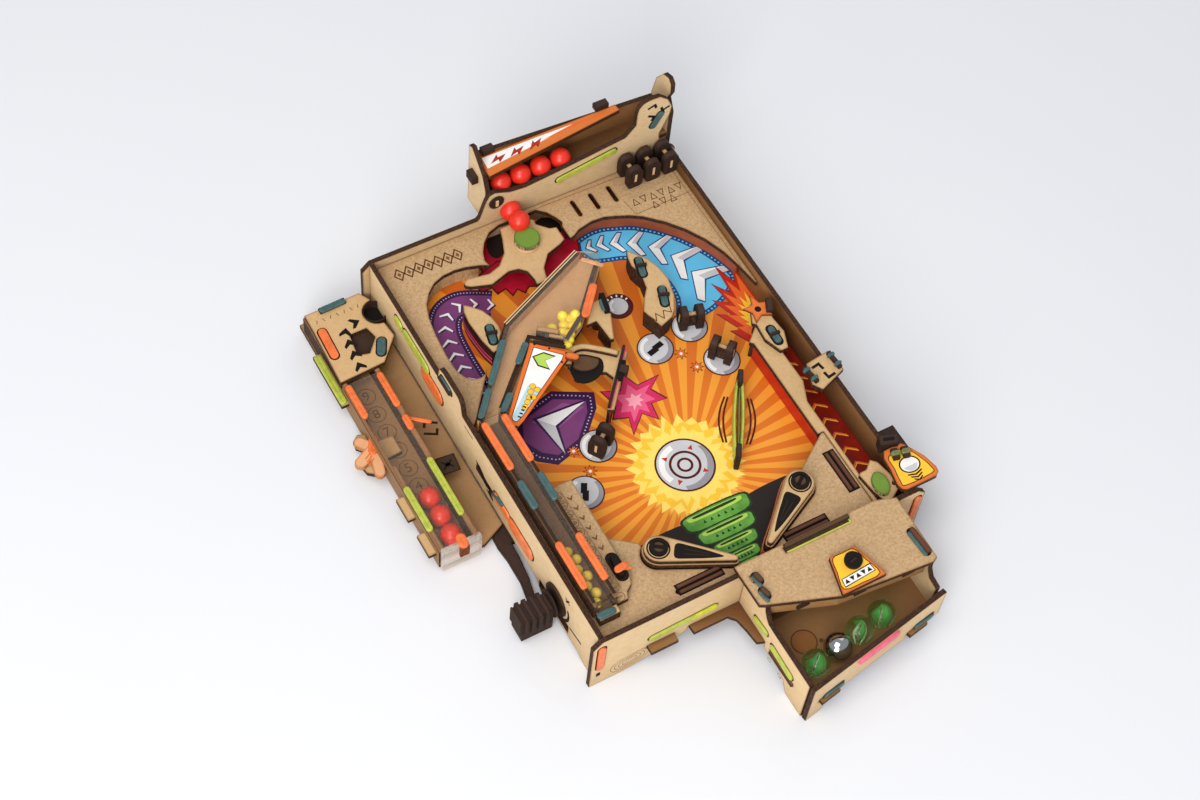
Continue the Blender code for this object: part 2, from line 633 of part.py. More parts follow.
def build_score():
    """The channel that the small balls fill, and the numbered plate beside it."""
    x0, x1, y0, y1 = (share * module for share, module in
                      zip(CHANNEL_SHARE, (MODULE_X, MODULE_X, MODULE_Y, MODULE_Y)))
    floor_top = LEVER_FOOT + CHANNEL_FLOOR
    rail_top = floor_top + CHANNEL_RISE
    rails = [box_outline(x0 + RAIL_INSET, x0 + CHANNEL_RAIL, y0 + RAIL_INSET, y1 - RAIL_INSET),
             box_outline(x1 - CHANNEL_RAIL, x1 - RAIL_INSET, y0 + RAIL_INSET, y1 - RAIL_INSET)]
    board("score_channel", box_outline(x0, x1, y0, y1), LEVER_FOOT, floor_top, "ply",
          up=[[(rail, floor_top, rail_top)] for rail in rails])
    hole = slot_hole(spot(SCALE_SLOT_SHARE), SCALE_SLOT_LENGTH, SCALE_SLOT_WIDTH, 90)
    board("scale_plate", plan(SCALE_SHARES), LEVER_FOOT, LEVER_TOP, "fibreboard", [hole])


# Vault for the small balls, its target and the bonus lever

VAULT_FLOOR_SHARES = ((0.055, 1.475), (0.502, 1.995), (1.133, 2.275), (1.25, 2.195), (1.215, 2.135),
                      (0.925, 1.825), (0.76, 1.72), (0.66, 1.635), (0.50, 1.555), (0.25, 1.40), (0.195, 1.42))
VAULT_STUD_SHARES = ((0.35, 1.58), (0.30, 1.65), (0.52, 1.90), (1.00, 2.13), (1.08, 2.11), (0.60, 1.78))
VAULT_BACK_SHARES = ((0.060, 1.490), (0.503, 1.990), (1.125, 2.266))
VAULT_CHANNEL_SHARES = ((0.205, 1.51), (0.585, 1.875), (0.63, 1.84), (0.75, 1.73))
VAULT_FRONT_SHARES = ((1.205, 2.14), (0.92, 1.835), (0.775, 1.735))
VAULT_ROOF_SHARES = ((0.06, 1.49), (0.503, 1.993), (1.12, 2.265), (1.24, 2.19), (1.20, 2.135), (0.92, 1.83),
                     (0.77, 1.715), (0.63, 1.845), (0.585, 1.88), (0.205, 1.505))
VAULT_WALL = 0.0025
VAULT_RISE = 0.0077
CLEAR_SHEET = 0.001
LABEL_SHARES = ((0.57, 1.82), (0.76, 1.66), (0.74, 1.63), (0.48, 1.53), (0.25, 1.38), (0.215, 1.40))
LABEL_STUD_SHARES = ((0.56, 1.76), (0.66, 1.67), (0.48, 1.58), (0.28, 1.435), (0.28, 1.455))


def build_vault():
    """The vault: floor, walls, clear roof and the raised label plate."""
    stud = [(plan(VAULT_STUD_SHARES), DECK_LEVEL, GUIDE_FOOT)]
    board("vault_floor", plan(VAULT_FLOOR_SHARES), DECK_LEVEL, DECK_TOP, "fibreboard", down=[stud])
    roof_foot = LEVER_FOOT + VAULT_RISE + GAP
    wall_top = roof_foot - GAP
    for name, shares, side in (("vault_back_wall", VAULT_BACK_SHARES, -1),
                               ("vault_channel_wall", VAULT_CHANNEL_SHARES, -1),
                               ("vault_front_wall", VAULT_FRONT_SHARES, -1)):
        tower(name, [(band(plan(shares), side * VAULT_WALL), LEVER_FOOT, wall_top)], "fibreboard")
    tower("vault_roof", [(plan(VAULT_ROOF_SHARES), roof_foot, roof_foot + CLEAR_SHEET)], "clear")
    label_foot = roof_foot - SHEET
    stud = [(plan(LABEL_STUD_SHARES), label_foot, LEVER_FOOT)]
    board("vault_label_plate", plan(LABEL_SHARES), label_foot, roof_foot, "print", down=[stud])


ROCKER_SHARES = ((0.72, 1.54), (0.705, 1.61), (0.75, 1.67), (0.83, 1.67), (0.93, 1.585), (0.985, 1.54),
                 (1.04, 1.575), (1.065, 1.54), (0.795, 1.225), (0.76, 1.245), (0.90, 1.42), (0.88, 1.47),
                 (0.80, 1.51))
TARGET_SHARES = ((1.045, 1.560), (1.055, 1.545), (0.790, 1.240), (0.775, 1.248))
TARGET_FOOT = 0.0025
BONUS_LEVER_SHARES = ((0.94, 1.805), (1.005, 1.805), (1.015, 1.655), (1.035, 1.65), (1.105, 1.81),
                      (1.11, 1.93), (1.045, 1.935))
BONUS_HOOK_SHARES = ((1.016, 1.79), (1.025, 1.67), (1.033, 1.67), (1.085, 1.79))


def build_vault_levers():
    """The rocker with its target, and the bonus lever with its hanging hook."""
    foot = GUIDE_FOOT + TARGET_FOOT
    target = [(plan(TARGET_SHARES), LEVER_FOOT, foot)]
    board("target_rocker", plan(ROCKER_SHARES), LEVER_FOOT, LEVER_TOP, "ply",
          down=[target, shaft(ROCKER_SHARE, LEVER_FOOT)], joint=spot(ROCKER_SHARE))
    hook = [(plan(BONUS_HOOK_SHARES), LEVER_FOOT, foot)]
    board("bonus_lever", plan(BONUS_LEVER_SHARES), LEVER_FOOT, LEVER_TOP, "ply",
          down=[hook, shaft(BONUS_SHARE, LEVER_FOOT)], joint=spot(BONUS_SHARE))


# Other levers

RELEASE_SHARES = (
    (0.48, 2.43), (0.455, 2.41), (0.455, 2.39), (0.48, 2.37), (0.60, 2.33), (0.73, 2.37), (0.79, 2.36),
    (0.83, 2.32), (0.84, 2.25), (0.835, 2.21), (0.905, 2.215), (0.93, 2.30), (1.00, 2.38), (1.10, 2.41),
    (1.14, 2.43), (1.14, 2.53), (1.10, 2.54), (1.04, 2.605), (1.045, 2.64), (1.00, 2.675), (0.83, 2.67),
    (0.81, 2.60), (0.77, 2.50), (0.70, 2.43), (0.62, 2.405))
RELEASE_CAP_RADIUS = 0.0062
RELEASE_CAP_RISE = 0.0025
DEFLECTOR_SHARES = ((1.91, 1.52), (1.87, 1.50), (1.81, 1.38), (1.83, 1.36), (1.82, 1.25), (1.86, 1.14),
                    (1.91, 1.14), (1.95, 1.25), (1.94, 1.36), (1.95, 1.40))
LAUNCHER_SHARES = ((1.844, 0.012), (1.894, 0.015), (1.955, 0.05), (1.975, 0.09), (1.965, 0.16), (1.945, 0.25),
                   (1.914, 0.281), (1.86, 0.235), (1.82, 0.235), (1.805, 0.225), (1.82, 0.10))
LAUNCHER_POST_SHARE = (1.952, 0.090)
LAUNCHER_FINGER_SHARE = (1.905, 0.245)
POST_RADIUS = 0.0013
FINGER_RADIUS = 0.0020
FINGER_DROP = 0.011
HANDLE_SHARES = ((1.985, 0.265), (1.96, 0.225), (1.953, 0.146), (1.933, 0.046), (1.942, 0.010), (1.965, -0.004),
                 (2.165, -0.004), (2.19, 0.015), (2.195, 0.046), (2.175, 0.136), (2.115, 0.25), (2.10, 0.265))
RESET_SHARES = ((1.328, -0.179), (1.273, -0.404), (1.553, -0.404), (1.493, -0.179))
RESET_PIN_RADIUS = 0.0048
RESET_PIN_RISE = 0.0015
BRIDGE_SHARES = ((1.91, 0.962), (2.073, 0.983), (2.086, 0.835), (1.903, 0.77), (1.865, 0.827))
BUMPER_POSTS_SHARES = ((1.31, 0.70), (1.61, 1.17))
BUMPER_RADIUS = 0.0026


def build_levers():
    """The release lever, the deflector, the launcher, the reset lever and the fixed bridge."""
    release = spot(RELEASE_SHARE)
    cap = [(circle(release, RELEASE_CAP_RADIUS), DECK_TOP, DECK_TOP + RELEASE_CAP_RISE)]
    board("release_lever", plan(RELEASE_SHARES), DECK_LEVEL, DECK_TOP, "ply", up=[cap],
          down=[shaft(RELEASE_SHARE, DECK_LEVEL)], joint=release)
    board("deflector", plan(DEFLECTOR_SHARES), LEVER_FOOT, LEVER_TOP, "ply",
          down=[shaft(DEFLECTOR_SHARE, LEVER_FOOT)], joint=spot(DEFLECTOR_SHARE))
    launcher = spot(LAUNCHER_SHARE)
    finger = [(circle(spot(LAUNCHER_FINGER_SHARE), FINGER_RADIUS), LEVER_FOOT, LEVER_FOOT - FINGER_DROP)]
    post = [(circle(spot(LAUNCHER_POST_SHARE), POST_RADIUS), LEVER_TOP, WALL_HEIGHT)]
    board("launcher_striker", plan(LAUNCHER_SHARES), LEVER_FOOT, LEVER_TOP, "ply", up=[post],
          down=[finger, shaft(LAUNCHER_SHARE, LEVER_FOOT)], joint=launcher)
    board("launcher_handle", plan(HANDLE_SHARES), COVER_FOOT, COVER_TOP, "print", joint=launcher)
    reset_foot = COVER_TOP + GAP
    reset_top = reset_foot + SHEET
    reset = spot(RESET_SHARE)
    pin = [(circle(reset, RESET_PIN_RADIUS), reset_top, reset_top + RESET_PIN_RISE)]
    board("reset_lever", plan(RESET_SHARES), reset_foot, reset_top, "print", up=[pin],
          down=[shaft(RESET_SHARE, reset_foot, COVER_FOOT - SHEET)], joint=reset)
    board("bridge_plate", plan(BRIDGE_SHARES), COVER_FOOT, COVER_TOP, "ply")
    for number, share in enumerate(BUMPER_POSTS_SHARES, 1):
        tower(f"bumper_post_{number}", [(circle(spot(share), BUMPER_RADIUS), GUIDE_FOOT, GUIDE_TOP)],
              "dark_board", smooth=True)


# Buttons outside the case, which push the flippers through their arms

BUTTON_ARM = 0.003
BUTTON_ARM_FOOT = 0.001
BUTTON_STEM_TOP = 0.010
BUTTON_HEAD_TOP = 0.026
BUTTON_MARGIN = 0.0005
BUTTON_PIN_RADIUS = 0.003
LEFT_BUTTON_BLOCK_SHARE = (-0.265, -0.050, 0.340, 0.505)
RIGHT_BUTTON_BLOCK_SHARE = (2.094, 2.264, 0.340, 0.505)
LEFT_ARM_SHARES = ((-0.05, 0.56), (-0.02, 0.70), (-0.005, 0.85), (-0.003, 0.94), (0.115, 0.94), (0.135, 1.00),
                   (0.115, 1.07), (-0.08, 1.07), (-0.085, 0.95), (-0.075, 0.85), (-0.075, 0.70), (-0.10, 0.55))
RIGHT_ARM_SHARES = ((2.144, 0.55), (2.119, 0.70), (2.119, 0.85), (2.129, 0.95), (2.124, 1.07), (1.929, 1.07),
                    (1.909, 1.00), (1.929, 0.94), (2.047, 0.94), (2.049, 0.85), (2.064, 0.70), (2.094, 0.56))


def build_button(name, block_share, arm_shares, joint_share):
    """A button: a stack of plates on an arm that passes under the wall to a pin below the base."""
    x0, x1, y0, y1 = (share * module for share, module in
                      zip(block_share, (MODULE_X, MODULE_X, MODULE_Y, MODULE_Y)))
    pad = box_outline(x0 - BUTTON_MARGIN, x1 + BUTTON_MARGIN, y0 - BUTTON_MARGIN, y1 + BUTTON_MARGIN)
    outline = [pad[0], pad[1], pad[2]] + plan(arm_shares) + [pad[3]]
    block = box_outline(x0, x1, y0, y1)
    arm_top = BUTTON_ARM_FOOT + BUTTON_ARM
    stem = grown(block, -BUTTON_ARM)
    stack = [(stem, arm_top, BUTTON_STEM_TOP), (block, BUTTON_STEM_TOP, BUTTON_HEAD_TOP)]
    pin = [(circle(spot(joint_share), BUTTON_PIN_RADIUS), arm_top, BASE_LEVEL - GAP)]
    board(name, outline, BUTTON_ARM_FOOT, arm_top, "dark_board", up=[stack, pin], joint=spot(joint_share))


def build_buttons():
    """The left and the right button."""
    build_button("left_button", LEFT_BUTTON_BLOCK_SHARE, LEFT_ARM_SHARES, LEFT_BUTTON_SHARE)
    build_button("right_button", RIGHT_BUTTON_BLOCK_SHARE, RIGHT_ARM_SHARES, RIGHT_BUTTON_SHARE)


# Pegs, marbles and the tray

def peg_outline(flange, setback=0.0):
    """A peg from above: a web with a cross plate at each end, all edges set back a little."""
    end, near = PEG_LENGTH / 2 - setback, PEG_LENGTH / 2 - SHEET + setback
    web, wide = SHEET / 2 - setback, flange / 2
    return [(end, -wide), (end, wide), (near, wide), (near, web), (-near, web), (-near, wide),
            (-end, wide), (-end, -wide), (-near, -wide), (-near, -web), (near, -web), (near, -wide)]


PEG_ROUNDING = 0.0020
PEG_BEVEL = 0.0002


def build_peg(name, place_and_turn, level):
    """A peg standing on a board, with its tongue in the board's slot."""
    x, y, turn = place_and_turn
    centre = spot((x, y))
    tongue = box_outline(-PEG_TONGUE / 2, PEG_TONGUE / 2, PEG_FIT - SHEET / 2, SHEET / 2 - PEG_FIT)
    foot = level + GAP
    shoulder = foot + PEG_HEIGHT - PEG_ROUNDING
    head = peg_outline(PEG_FLANGE - 2 * PEG_ROUNDING, PEG_BEVEL)
    layers = [(tongue, level - SHEET + GAP, foot), (peg_outline(PEG_FLANGE), foot, shoulder),
              (head, shoulder, foot + PEG_HEIGHT)]
    layers = [(turned(points, centre, turn), low, high) for points, low, high in layers]
    tower(name, layers, "dark_board", joint=centre)


MARBLE_RADIUS = 0.008
MARBLE_SPARE = 0.0004
MARBLE_SETBACK = 0.0042
FIRST_MARBLE_SHARE = 0.164
MARBLE_FINISHES = ("glass", "steel", "glass", "glass")
MARBLE_SIDES = 16
MARBLE_RINGS = 10


def build_marble(name, number, material):
    """A marble resting on the tray floor, one of a row along the tray's front wall."""
    distance = FIRST_MARBLE_SHARE * MODULE_X + (number - 1) * (2 * MARBLE_RADIUS + MARBLE_SPARE)
    x, y = tray_front_point(distance, -MARBLE_RADIUS - MARBLE_SETBACK)
    mesh = bpy.data.meshes.new(name)
    work = bmesh.new()
    bmesh.ops.create_uvsphere(work, u_segments=MARBLE_SIDES, v_segments=MARBLE_RINGS, radius=MARBLE_RADIUS)
    work.to_mesh(mesh)
    work.free()
    mesh.shade_smooth()
    mesh.materials.append(finish(material))
    made = bpy.data.objects.new(name, mesh)
    made.location = (x, y, BASE_TOP + GAP + MARBLE_RADIUS)
    made.parent = GAME
    bpy.context.collection.objects.link(made)


def build_loose_parts():
    """The pegs in the field, the spare pegs and the marbles."""
    for number, peg in enumerate(PLUGGED_PEGS_SHARES, 1):
        build_peg(f"plugged_peg_{number}", peg, FIELD_TOP)
    for number, peg in enumerate(stored_pegs(), 1):
        build_peg(f"stored_peg_{number}", peg, DECK_TOP)
    for number, material in enumerate(MARBLE_FINISHES, 1):
        build_marble(f"marble_{number}", number, material)


COVER_SHARES = ((0.85, 0.023), (0.853, -0.235), (0.88, -0.25), (1.29, -0.40), (1.56, -0.425), (1.84, -0.45),
                (1.873, -0.435), (1.883, -0.02), (1.83, 0.0), (1.76, 0.023))
TRAY_LEFT_SHARES = ((-0.24, 0.491), (-0.25, 0.44), (-0.275, 0.395), (-0.30, 0.368), (-0.35, 0.365),
                    (-0.715, 0.365), (-0.715, 0.0), (-0.56, 0.0), (-0.52, 0.08), (-0.46, 0.12), (-0.309, 0.12))
TRAY_LEFT_TABS_SHARE = ((-0.105, -0.065), (-0.205, -0.165))
TRAY_RIGHT_SHARES = ((-0.435, 0.491), (-0.44, 0.43), (-0.47, 0.38), (-0.54, 0.365), (-0.54, 0.12))
TRAY_RIGHT_TAB_SHARE = ((-0.385, -0.24),)
TRAY_RIGHT_FOOT_SHARE = 0.10
TRAY_FRONT_FOOT_SHARES = ((0.0, 0.0), (0.10, 0.0), (0.14, 0.08), (0.20, 0.12), (0.985, 0.12))
TRAY_FRONT_TOP_SHARE = 0.365
LIP_SHARES = ((0.931, -0.24), (1.29, -0.37), (1.55, -0.393), (1.824, -0.418))
LIP_FOOT_SHARE = 0.368


def raised_tabs(tabs, top):
    """Points of the tabs that rise through the cover, from the front to the back."""
    points = []
    for low, high in sorted(tabs):
        points += [(low * MODULE_Y, top), (low * MODULE_Y, WALL_HEIGHT + TAB_RISE),
                   (high * MODULE_Y, WALL_HEIGHT + TAB_RISE), (high * MODULE_Y, top)]
    return points


def build_tray():
    """The tray's walls, its lip and the cover with its slots."""
    wall_back = -SHEET - GAP
    top = WALL_HEIGHT - GAP
    shape = [(y * MODULE_Y, z * MODULE_Z) for y, z in TRAY_LEFT_SHARES]
    back_foot = (shape[-1][0], BASE_TOP + GAP)
    outline = shape[1:] + [back_foot, (wall_back, BASE_TOP + GAP), (wall_back, top)]
    outline += raised_tabs(TRAY_LEFT_TABS_SHARE, top)[::-1] + [(shape[0][0], top)]
    low, high = (share * MODULE_Y for share in TRAY_SIDE_TAB_SHARE)
    slot = box_outline(low - GAP, high + GAP, BASE_LEVEL - GAP, BASE_TOP + GAP)
    board("tray_left_wall", outline, TRAY_LEFT, TRAY_LEFT + SHEET, "ply", [slot], frame=ACROSS_X)

    shape = [(y * MODULE_Y, z * MODULE_Z) for y, z in TRAY_RIGHT_SHARES]
    foot = TRAY_RIGHT_FOOT_SHARE * MODULE_Z
    outline = shape[1:] + [(wall_back, foot), (wall_back, top)]
    outline += raised_tabs(TRAY_RIGHT_TAB_SHARE, top)[::-1] + [(shape[0][0], top)]
    board("tray_right_wall", outline, TRAY_RIGHT, TRAY_RIGHT + SHEET, "ply", frame=ACROSS_X)

    front = plan(TRAY_FRONT_SHARES)
    rim = TRAY_FRONT_TOP_SHARE * MODULE_Z
    outline = [(x * MODULE_X, z * MODULE_Z) for x, z in TRAY_FRONT_FOOT_SHARES]
    outline += [(outline[-1][0], rim), (outline[0][0], rim)]
    slots = [box_outline(start - GAP, end + GAP, BASE_LEVEL - GAP, BASE_TOP + GAP) for start, end in tray_tabs()]
    board("tray_front_wall", outline, -SHEET, 0, "ply", slots, frame=standing(*front))

    tower("tray_lip", [(band(plan(LIP_SHARES), SHEET), LIP_FOOT_SHARE * MODULE_Z, WALL_HEIGHT)], "fibreboard")

    tab_left, tab_right = (share * MODULE_X for share in COVER_TAB_SHARE)
    holes = [box_outline(tab_left - GAP, tab_right + GAP, wall_back, GAP), shaft_hole(RESET_SHARE)]
    for x, tabs in ((TRAY_LEFT, TRAY_LEFT_TABS_SHARE), (TRAY_RIGHT, TRAY_RIGHT_TAB_SHARE)):
        holes += [box_outline(x - GAP, x + SHEET + GAP, low * MODULE_Y - GAP, high * MODULE_Y + GAP)
                  for low, high in tabs]
    board("cover_plate", plan(COVER_SHARES), COVER_FOOT, COVER_TOP, "fibreboard", holes)


# Ball tower behind the case

TOWER_SHARE = (0.78, 2.033)
TOWER_DEPTH = 0.0182
TOWER_FOOT_SHARE = 0.40
TROUGH_SHARE = 0.55
TOWER_BACK_TOP_SHARE = 0.82
TOWER_BACK_DROP_SHARE = 0.10
ROOF_SHARES = ((0.815, 2.790), (1.754, 2.896), (1.75, 2.945), (0.815, 2.945))
ROOF_SHARE = 0.77
LEFT_SIDE_SHARES = ((0.0, 0.40), (1.0, 0.40), (1.0, 0.90), (0.82, 0.92), (0.2, 0.80), (0.0, 0.70))
RIGHT_SIDE_SHARES = ((0.0, 0.40), (1.0, 0.40), (1.0, 0.737), (0.84, 0.898), (0.54, 0.996), (0.26, 1.02),
                     (0.10, 0.991), (0.08, 0.92), (0.22, 0.848), (0.0, 0.76))


def build_tower():
    """The tower that holds the balls of the target: sides, trough, back and roof."""
    left, right = (share * MODULE_X for share in TOWER_SHARE)
    front = DEPTH + SHEET + GAP
    back = front + TOWER_DEPTH
    for name, shares, x in (("tower_left_side", LEFT_SIDE_SHARES, left), ("tower_right_side", RIGHT_SIDE_SHARES, right)):
        outline = [(front + y * (TOWER_DEPTH + GAP + SHEET), z * MODULE_Z) for y, z in shares]
        board(name, outline, x, x + SHEET, "ply", frame=ACROSS_X)
    inner_left, inner_right = left + SHEET + GAP, right - GAP
    floor = TROUGH_SHARE * MODULE_Z
    tower("tower_trough", [(box_outline(inner_left, inner_right, front, back), floor, floor + SHEET)], "fibreboard")
    foot, top = TOWER_FOOT_SHARE * MODULE_Z, TOWER_BACK_TOP_SHARE * MODULE_Z
    outline = [(inner_left, foot), (inner_right, foot), (inner_right, top - TOWER_BACK_DROP_SHARE * MODULE_Z),
               (inner_left, top)]
    board("tower_back_wall", outline, back + GAP, back + GAP + SHEET, "fibreboard", frame=ACROSS_Y)
    roof = [(max(x, inner_left), min(max(y, front), back)) for x, y in plan(ROOF_SHARES)]
    level = ROOF_SHARE * MODULE_Z
    tower("tower_roof", [(roof, level, level + SHEET)], "print")


# Refill unit on the left of the case

REFILL_SHARES = ((-0.437, 0.98), (-0.15, 0.98), (-0.003, 1.05), (-0.003, 2.68), (-0.08, 2.76), (-0.12, 2.80),
                 (-0.437, 2.80))
REFILL_WALLS_SHARE = ((-0.432, -0.402, 0.985, 1.60), (-0.432, -0.402, 1.95, 2.75), (-0.22, -0.19, 0.985, 2.66))
REFILL_WALL_RISE = 0.013
REFILL_TOP_SHARES = ((-0.426, 2.741), (-0.426, 2.617), (-0.441, 2.221), (-0.151, 2.237), (-0.017, 2.381))
REFILL_TOP_END_SHARES = ((-0.069, 2.746),)
REFILL_BITE_SHARE = (-0.03, 2.58)
REFILL_BITE = 0.009
PENTAGON_SHARES = ((-0.27, 2.35), (-0.20, 2.33), (-0.12, 2.42), (-0.14, 2.50), (-0.25, 2.50))
END_PLATE_RISE = 0.021
SLIDE_SHARES = ((-0.30, 1.72), (-0.30, 1.84), (-0.436, 1.85), (-0.44, 1.92), (-0.48, 1.935), (-0.52, 1.905),
                (-0.525, 1.86), (-0.50, 1.83), (-0.53, 1.79), (-0.55, 1.74), (-0.54, 1.68), (-0.49, 1.64),
                (-0.45, 1.66), (-0.436, 1.71))


def build_refill():
    """The refill unit: channel, top plate, clear end and the slide that lets balls pass."""
    floor_top = REFILL_LEVEL + SHEET
    wall_top = floor_top + REFILL_WALL_RISE
    walls = [[(box_outline(x0 * MODULE_X, x1 * MODULE_X, y0 * MODULE_Y, y1 * MODULE_Y), floor_top, wall_top)]
             for x0, x1, y0, y1 in REFILL_WALLS_SHARE]
    board("refill_channel", plan(REFILL_SHARES), REFILL_LEVEL, floor_top, "ply", up=walls)
    bite = arc(spot(REFILL_BITE_SHARE), REFILL_BITE, 270, 90, ROUND_STEPS // 2)
    plate_foot = wall_top + GAP
    outline = plan(REFILL_TOP_SHARES) + bite + plan(REFILL_TOP_END_SHARES)
    board("refill_top_plate", outline, plate_foot, plate_foot + SHEET, "ply", [plan(PENTAGON_SHARES)])
    front = REFILL_SHARES[0][1] * MODULE_Y - GAP
    left, right = REFILL_WALLS_SHARE[0][0] * MODULE_X, REFILL_WALLS_SHARE[2][1] * MODULE_X
    outline = box_outline(left, right, REFILL_LEVEL, REFILL_LEVEL + END_PLATE_RISE)
    board("refill_end_plate", outline, front - SHEET, front, "clear", frame=ACROSS_Y)
    tower("refill_slide", [(plan(SLIDE_SHARES), floor_top + GAP, floor_top + GAP + SHEET)], "ply",
          joint=spot(SLIDE_SHARES[0]))


for old in list(bpy.data.objects):
    bpy.data.objects.remove(old)
GAME = bpy.data.objects.new("game_centre", None)
bpy.context.collection.objects.link(GAME)
for build in (build_boards, build_walls, build_top_boards, build_decks, build_score, build_vault,
              build_vault_levers, build_levers, build_buttons, build_loose_parts, build_tray, build_tower,
              build_refill):
    build()

# The finished game stands on its feet, with the middle of its footprint at the origin
bpy.context.view_layer.update()
corners = [part.matrix_world @ vertex.co for part in GAME.children for vertex in part.data.vertices]
lows = [min(c[axis] for c in corners) for axis in range(3)]
highs = [max(c[axis] for c in corners) for axis in range(3)]
GAME.location = (-(lows[0] + highs[0]) / 2, -(lows[1] + highs[1]) / 2, -lows[2])
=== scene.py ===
"""Look of the tabletop pinball game: finishes, printed art, bands, balls, and the photo's view.

Every place below is in millimetres of the game's own plan, as its kit is drawn: X from the
outer face of the left wall, Y from the inner face of the front wall, Z from the table.
"""
from __future__ import annotations

import logging
import math
from dataclasses import dataclass
from enum import Enum
from functools import partial
from typing import Callable, Iterable, Optional, Sequence, Union

import bmesh
import bpy
from mathutils import Matrix, Vector
from mathutils.geometry import tessellate_polygon


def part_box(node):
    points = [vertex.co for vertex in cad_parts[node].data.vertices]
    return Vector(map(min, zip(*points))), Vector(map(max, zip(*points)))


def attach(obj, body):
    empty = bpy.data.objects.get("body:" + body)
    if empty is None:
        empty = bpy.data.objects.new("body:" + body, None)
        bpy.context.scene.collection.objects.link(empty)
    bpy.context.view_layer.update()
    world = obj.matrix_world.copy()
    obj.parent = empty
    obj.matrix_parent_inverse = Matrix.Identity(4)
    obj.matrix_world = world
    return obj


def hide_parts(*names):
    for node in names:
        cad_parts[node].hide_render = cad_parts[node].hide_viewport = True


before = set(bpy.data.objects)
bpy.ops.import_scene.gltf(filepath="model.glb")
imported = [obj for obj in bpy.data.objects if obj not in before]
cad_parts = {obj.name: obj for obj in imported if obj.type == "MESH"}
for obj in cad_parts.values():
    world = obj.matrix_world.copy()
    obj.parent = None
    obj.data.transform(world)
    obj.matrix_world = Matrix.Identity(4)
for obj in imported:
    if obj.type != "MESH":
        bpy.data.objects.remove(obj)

LOG = logging.getLogger("pinball")
MM = 0.001
WELD = 0.001  # millimetres within which corners are joined
SHARP = 38  # degrees past which an edge stays sharp
STRAND_OVERLAP = 0.22  # millimetres by which a band's two strands meet
SQUARENESS = 0.6  # power that flattens a strand's round section, 1 being round

Point = tuple[float, float]
Outline = list[Point]
Socket = bpy.types.NodeSocket
Input = Union[bpy.types.NodeSocket, float, tuple]


# Places

class Side(Enum):
    """Which way a sheet lies, as the plan axes of its two long directions."""

    FLAT = "flat"
    ACROSS_X = "across_x"
    ACROSS_Y = "across_y"


class Plan:
    """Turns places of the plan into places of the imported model."""

    def __init__(self) -> None:
        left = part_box("left_wall")[0]
        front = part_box("front_wall")[1]
        self.origin = Vector((left.x, front.y, 0.0))

    def at(self, x: float, y: float, z: float) -> Vector:
        """Gives a place in metres.

        Args:
            x: Millimetres to the right.
            y: Millimetres to the back.
            z: Millimetres up.

        Returns:
            The place in the model's frame.
        """
        return self.origin + Vector((x, y, z)) * MM

    def lifted(self, side: Side, u: float, v: float, w: float) -> Vector:
        """Gives the place of a sheet's own coordinates, w being across its thickness.

        Args:
            side: Which way the sheet lies.
            u: Millimetres along its first direction.
            v: Millimetres along its second.
            w: Millimetres across it.

        Returns:
            The place in the model's frame.
        """
        if side is Side.ACROSS_X:
            return self.at(w, u, v)
        if side is Side.ACROSS_Y:
            return self.at(u, w, v)
        return self.at(u, v, w)


PLAN = Plan()


@dataclass(frozen=True)
class Level:
    """Heights of the sheets, in millimetres above the table."""

    base: float = 18.0
    field: float = 28.0
    deck: float = 43.0
    lever: float = 46.3
    cover: float = 52.7
    ink: float = 0.03
    on_deck: float = 43.4
    on_vault: float = 52.4
    on_tray: float = 18.26


LEVEL = Level()


FRONT_WALL = -3.0  # place in Y of the front wall's outer face
BACK_WALL = 273.5  # place in Y of the face over the top board
LEFT_FACE = {"side": Side.ACROSS_X, "outward": -1}
FRONT_FACE = {"side": Side.ACROSS_Y, "outward": -1}


# Outlines

def arc(centre: Point, radius: float, start: float, end: float, steps: int = 16) -> Outline:
    """Points on an arc, with angles in degrees."""
    turns = [math.radians(start + (end - start) * i / steps) for i in range(steps + 1)]
    return [(centre[0] + radius * math.cos(t), centre[1] + radius * math.sin(t)) for t in turns]


def circle(centre: Point, radius: float, steps: int = 40) -> Outline:
    """A closed round outline."""
    return arc(centre, radius, 0, 360, steps)[:-1]


def oval(half_x: float, half_y: float, steps: int = 32) -> Outline:
    """An oval about its own origin."""
    return [(half_x * x, half_y * y) for x, y in circle((0, 0), 1.0, steps)]


def turned(points: Iterable[Point], centre: Point, angle: float = 0.0) -> Outline:
    """An outline about its own origin, turned by degrees and moved to a centre."""
    c, s = math.cos(math.radians(angle)), math.sin(math.radians(angle))
    return [(centre[0] + x * c - y * s, centre[1] + x * s + y * c) for x, y in points]


def pill(length: float, width: float, steps: int = 10) -> Outline:
    """A slot with round ends about its own origin, long in X."""
    reach = (length - width) / 2
    return arc((reach, 0), width / 2, -90, 90, steps) + arc((-reach, 0), width / 2, 90, 270, steps)


def rectangle(x0: float, x1: float, y0: float, y1: float) -> Outline:
    """A rectangle."""
    return [(x0, y0), (x1, y0), (x1, y1), (x0, y1)]


def block(half_x: float, half_y: float, centre: Point, angle: float = 0.0) -> Outline:
    """A rectangle of these half sizes about a centre, turned by degrees."""
    return turned(rectangle(-half_x, half_x, -half_y, half_y), centre, angle)


def scaled(points: Iterable[Point], centre: Point, across: float, along_y: Optional[float] = None) -> Outline:
    """An outline made larger or smaller about a centre."""
    tall = across if along_y is None else along_y
    return turned([((x - centre[0]) * across, (y - centre[1]) * tall) for x, y in points], centre)


def heading(a: Point, b: Point) -> Point:
    """Unit vector from one point to the next."""
    length = math.dist(a, b) or 1.0
    return ((b[0] - a[0]) / length, (b[1] - a[1]) / length)


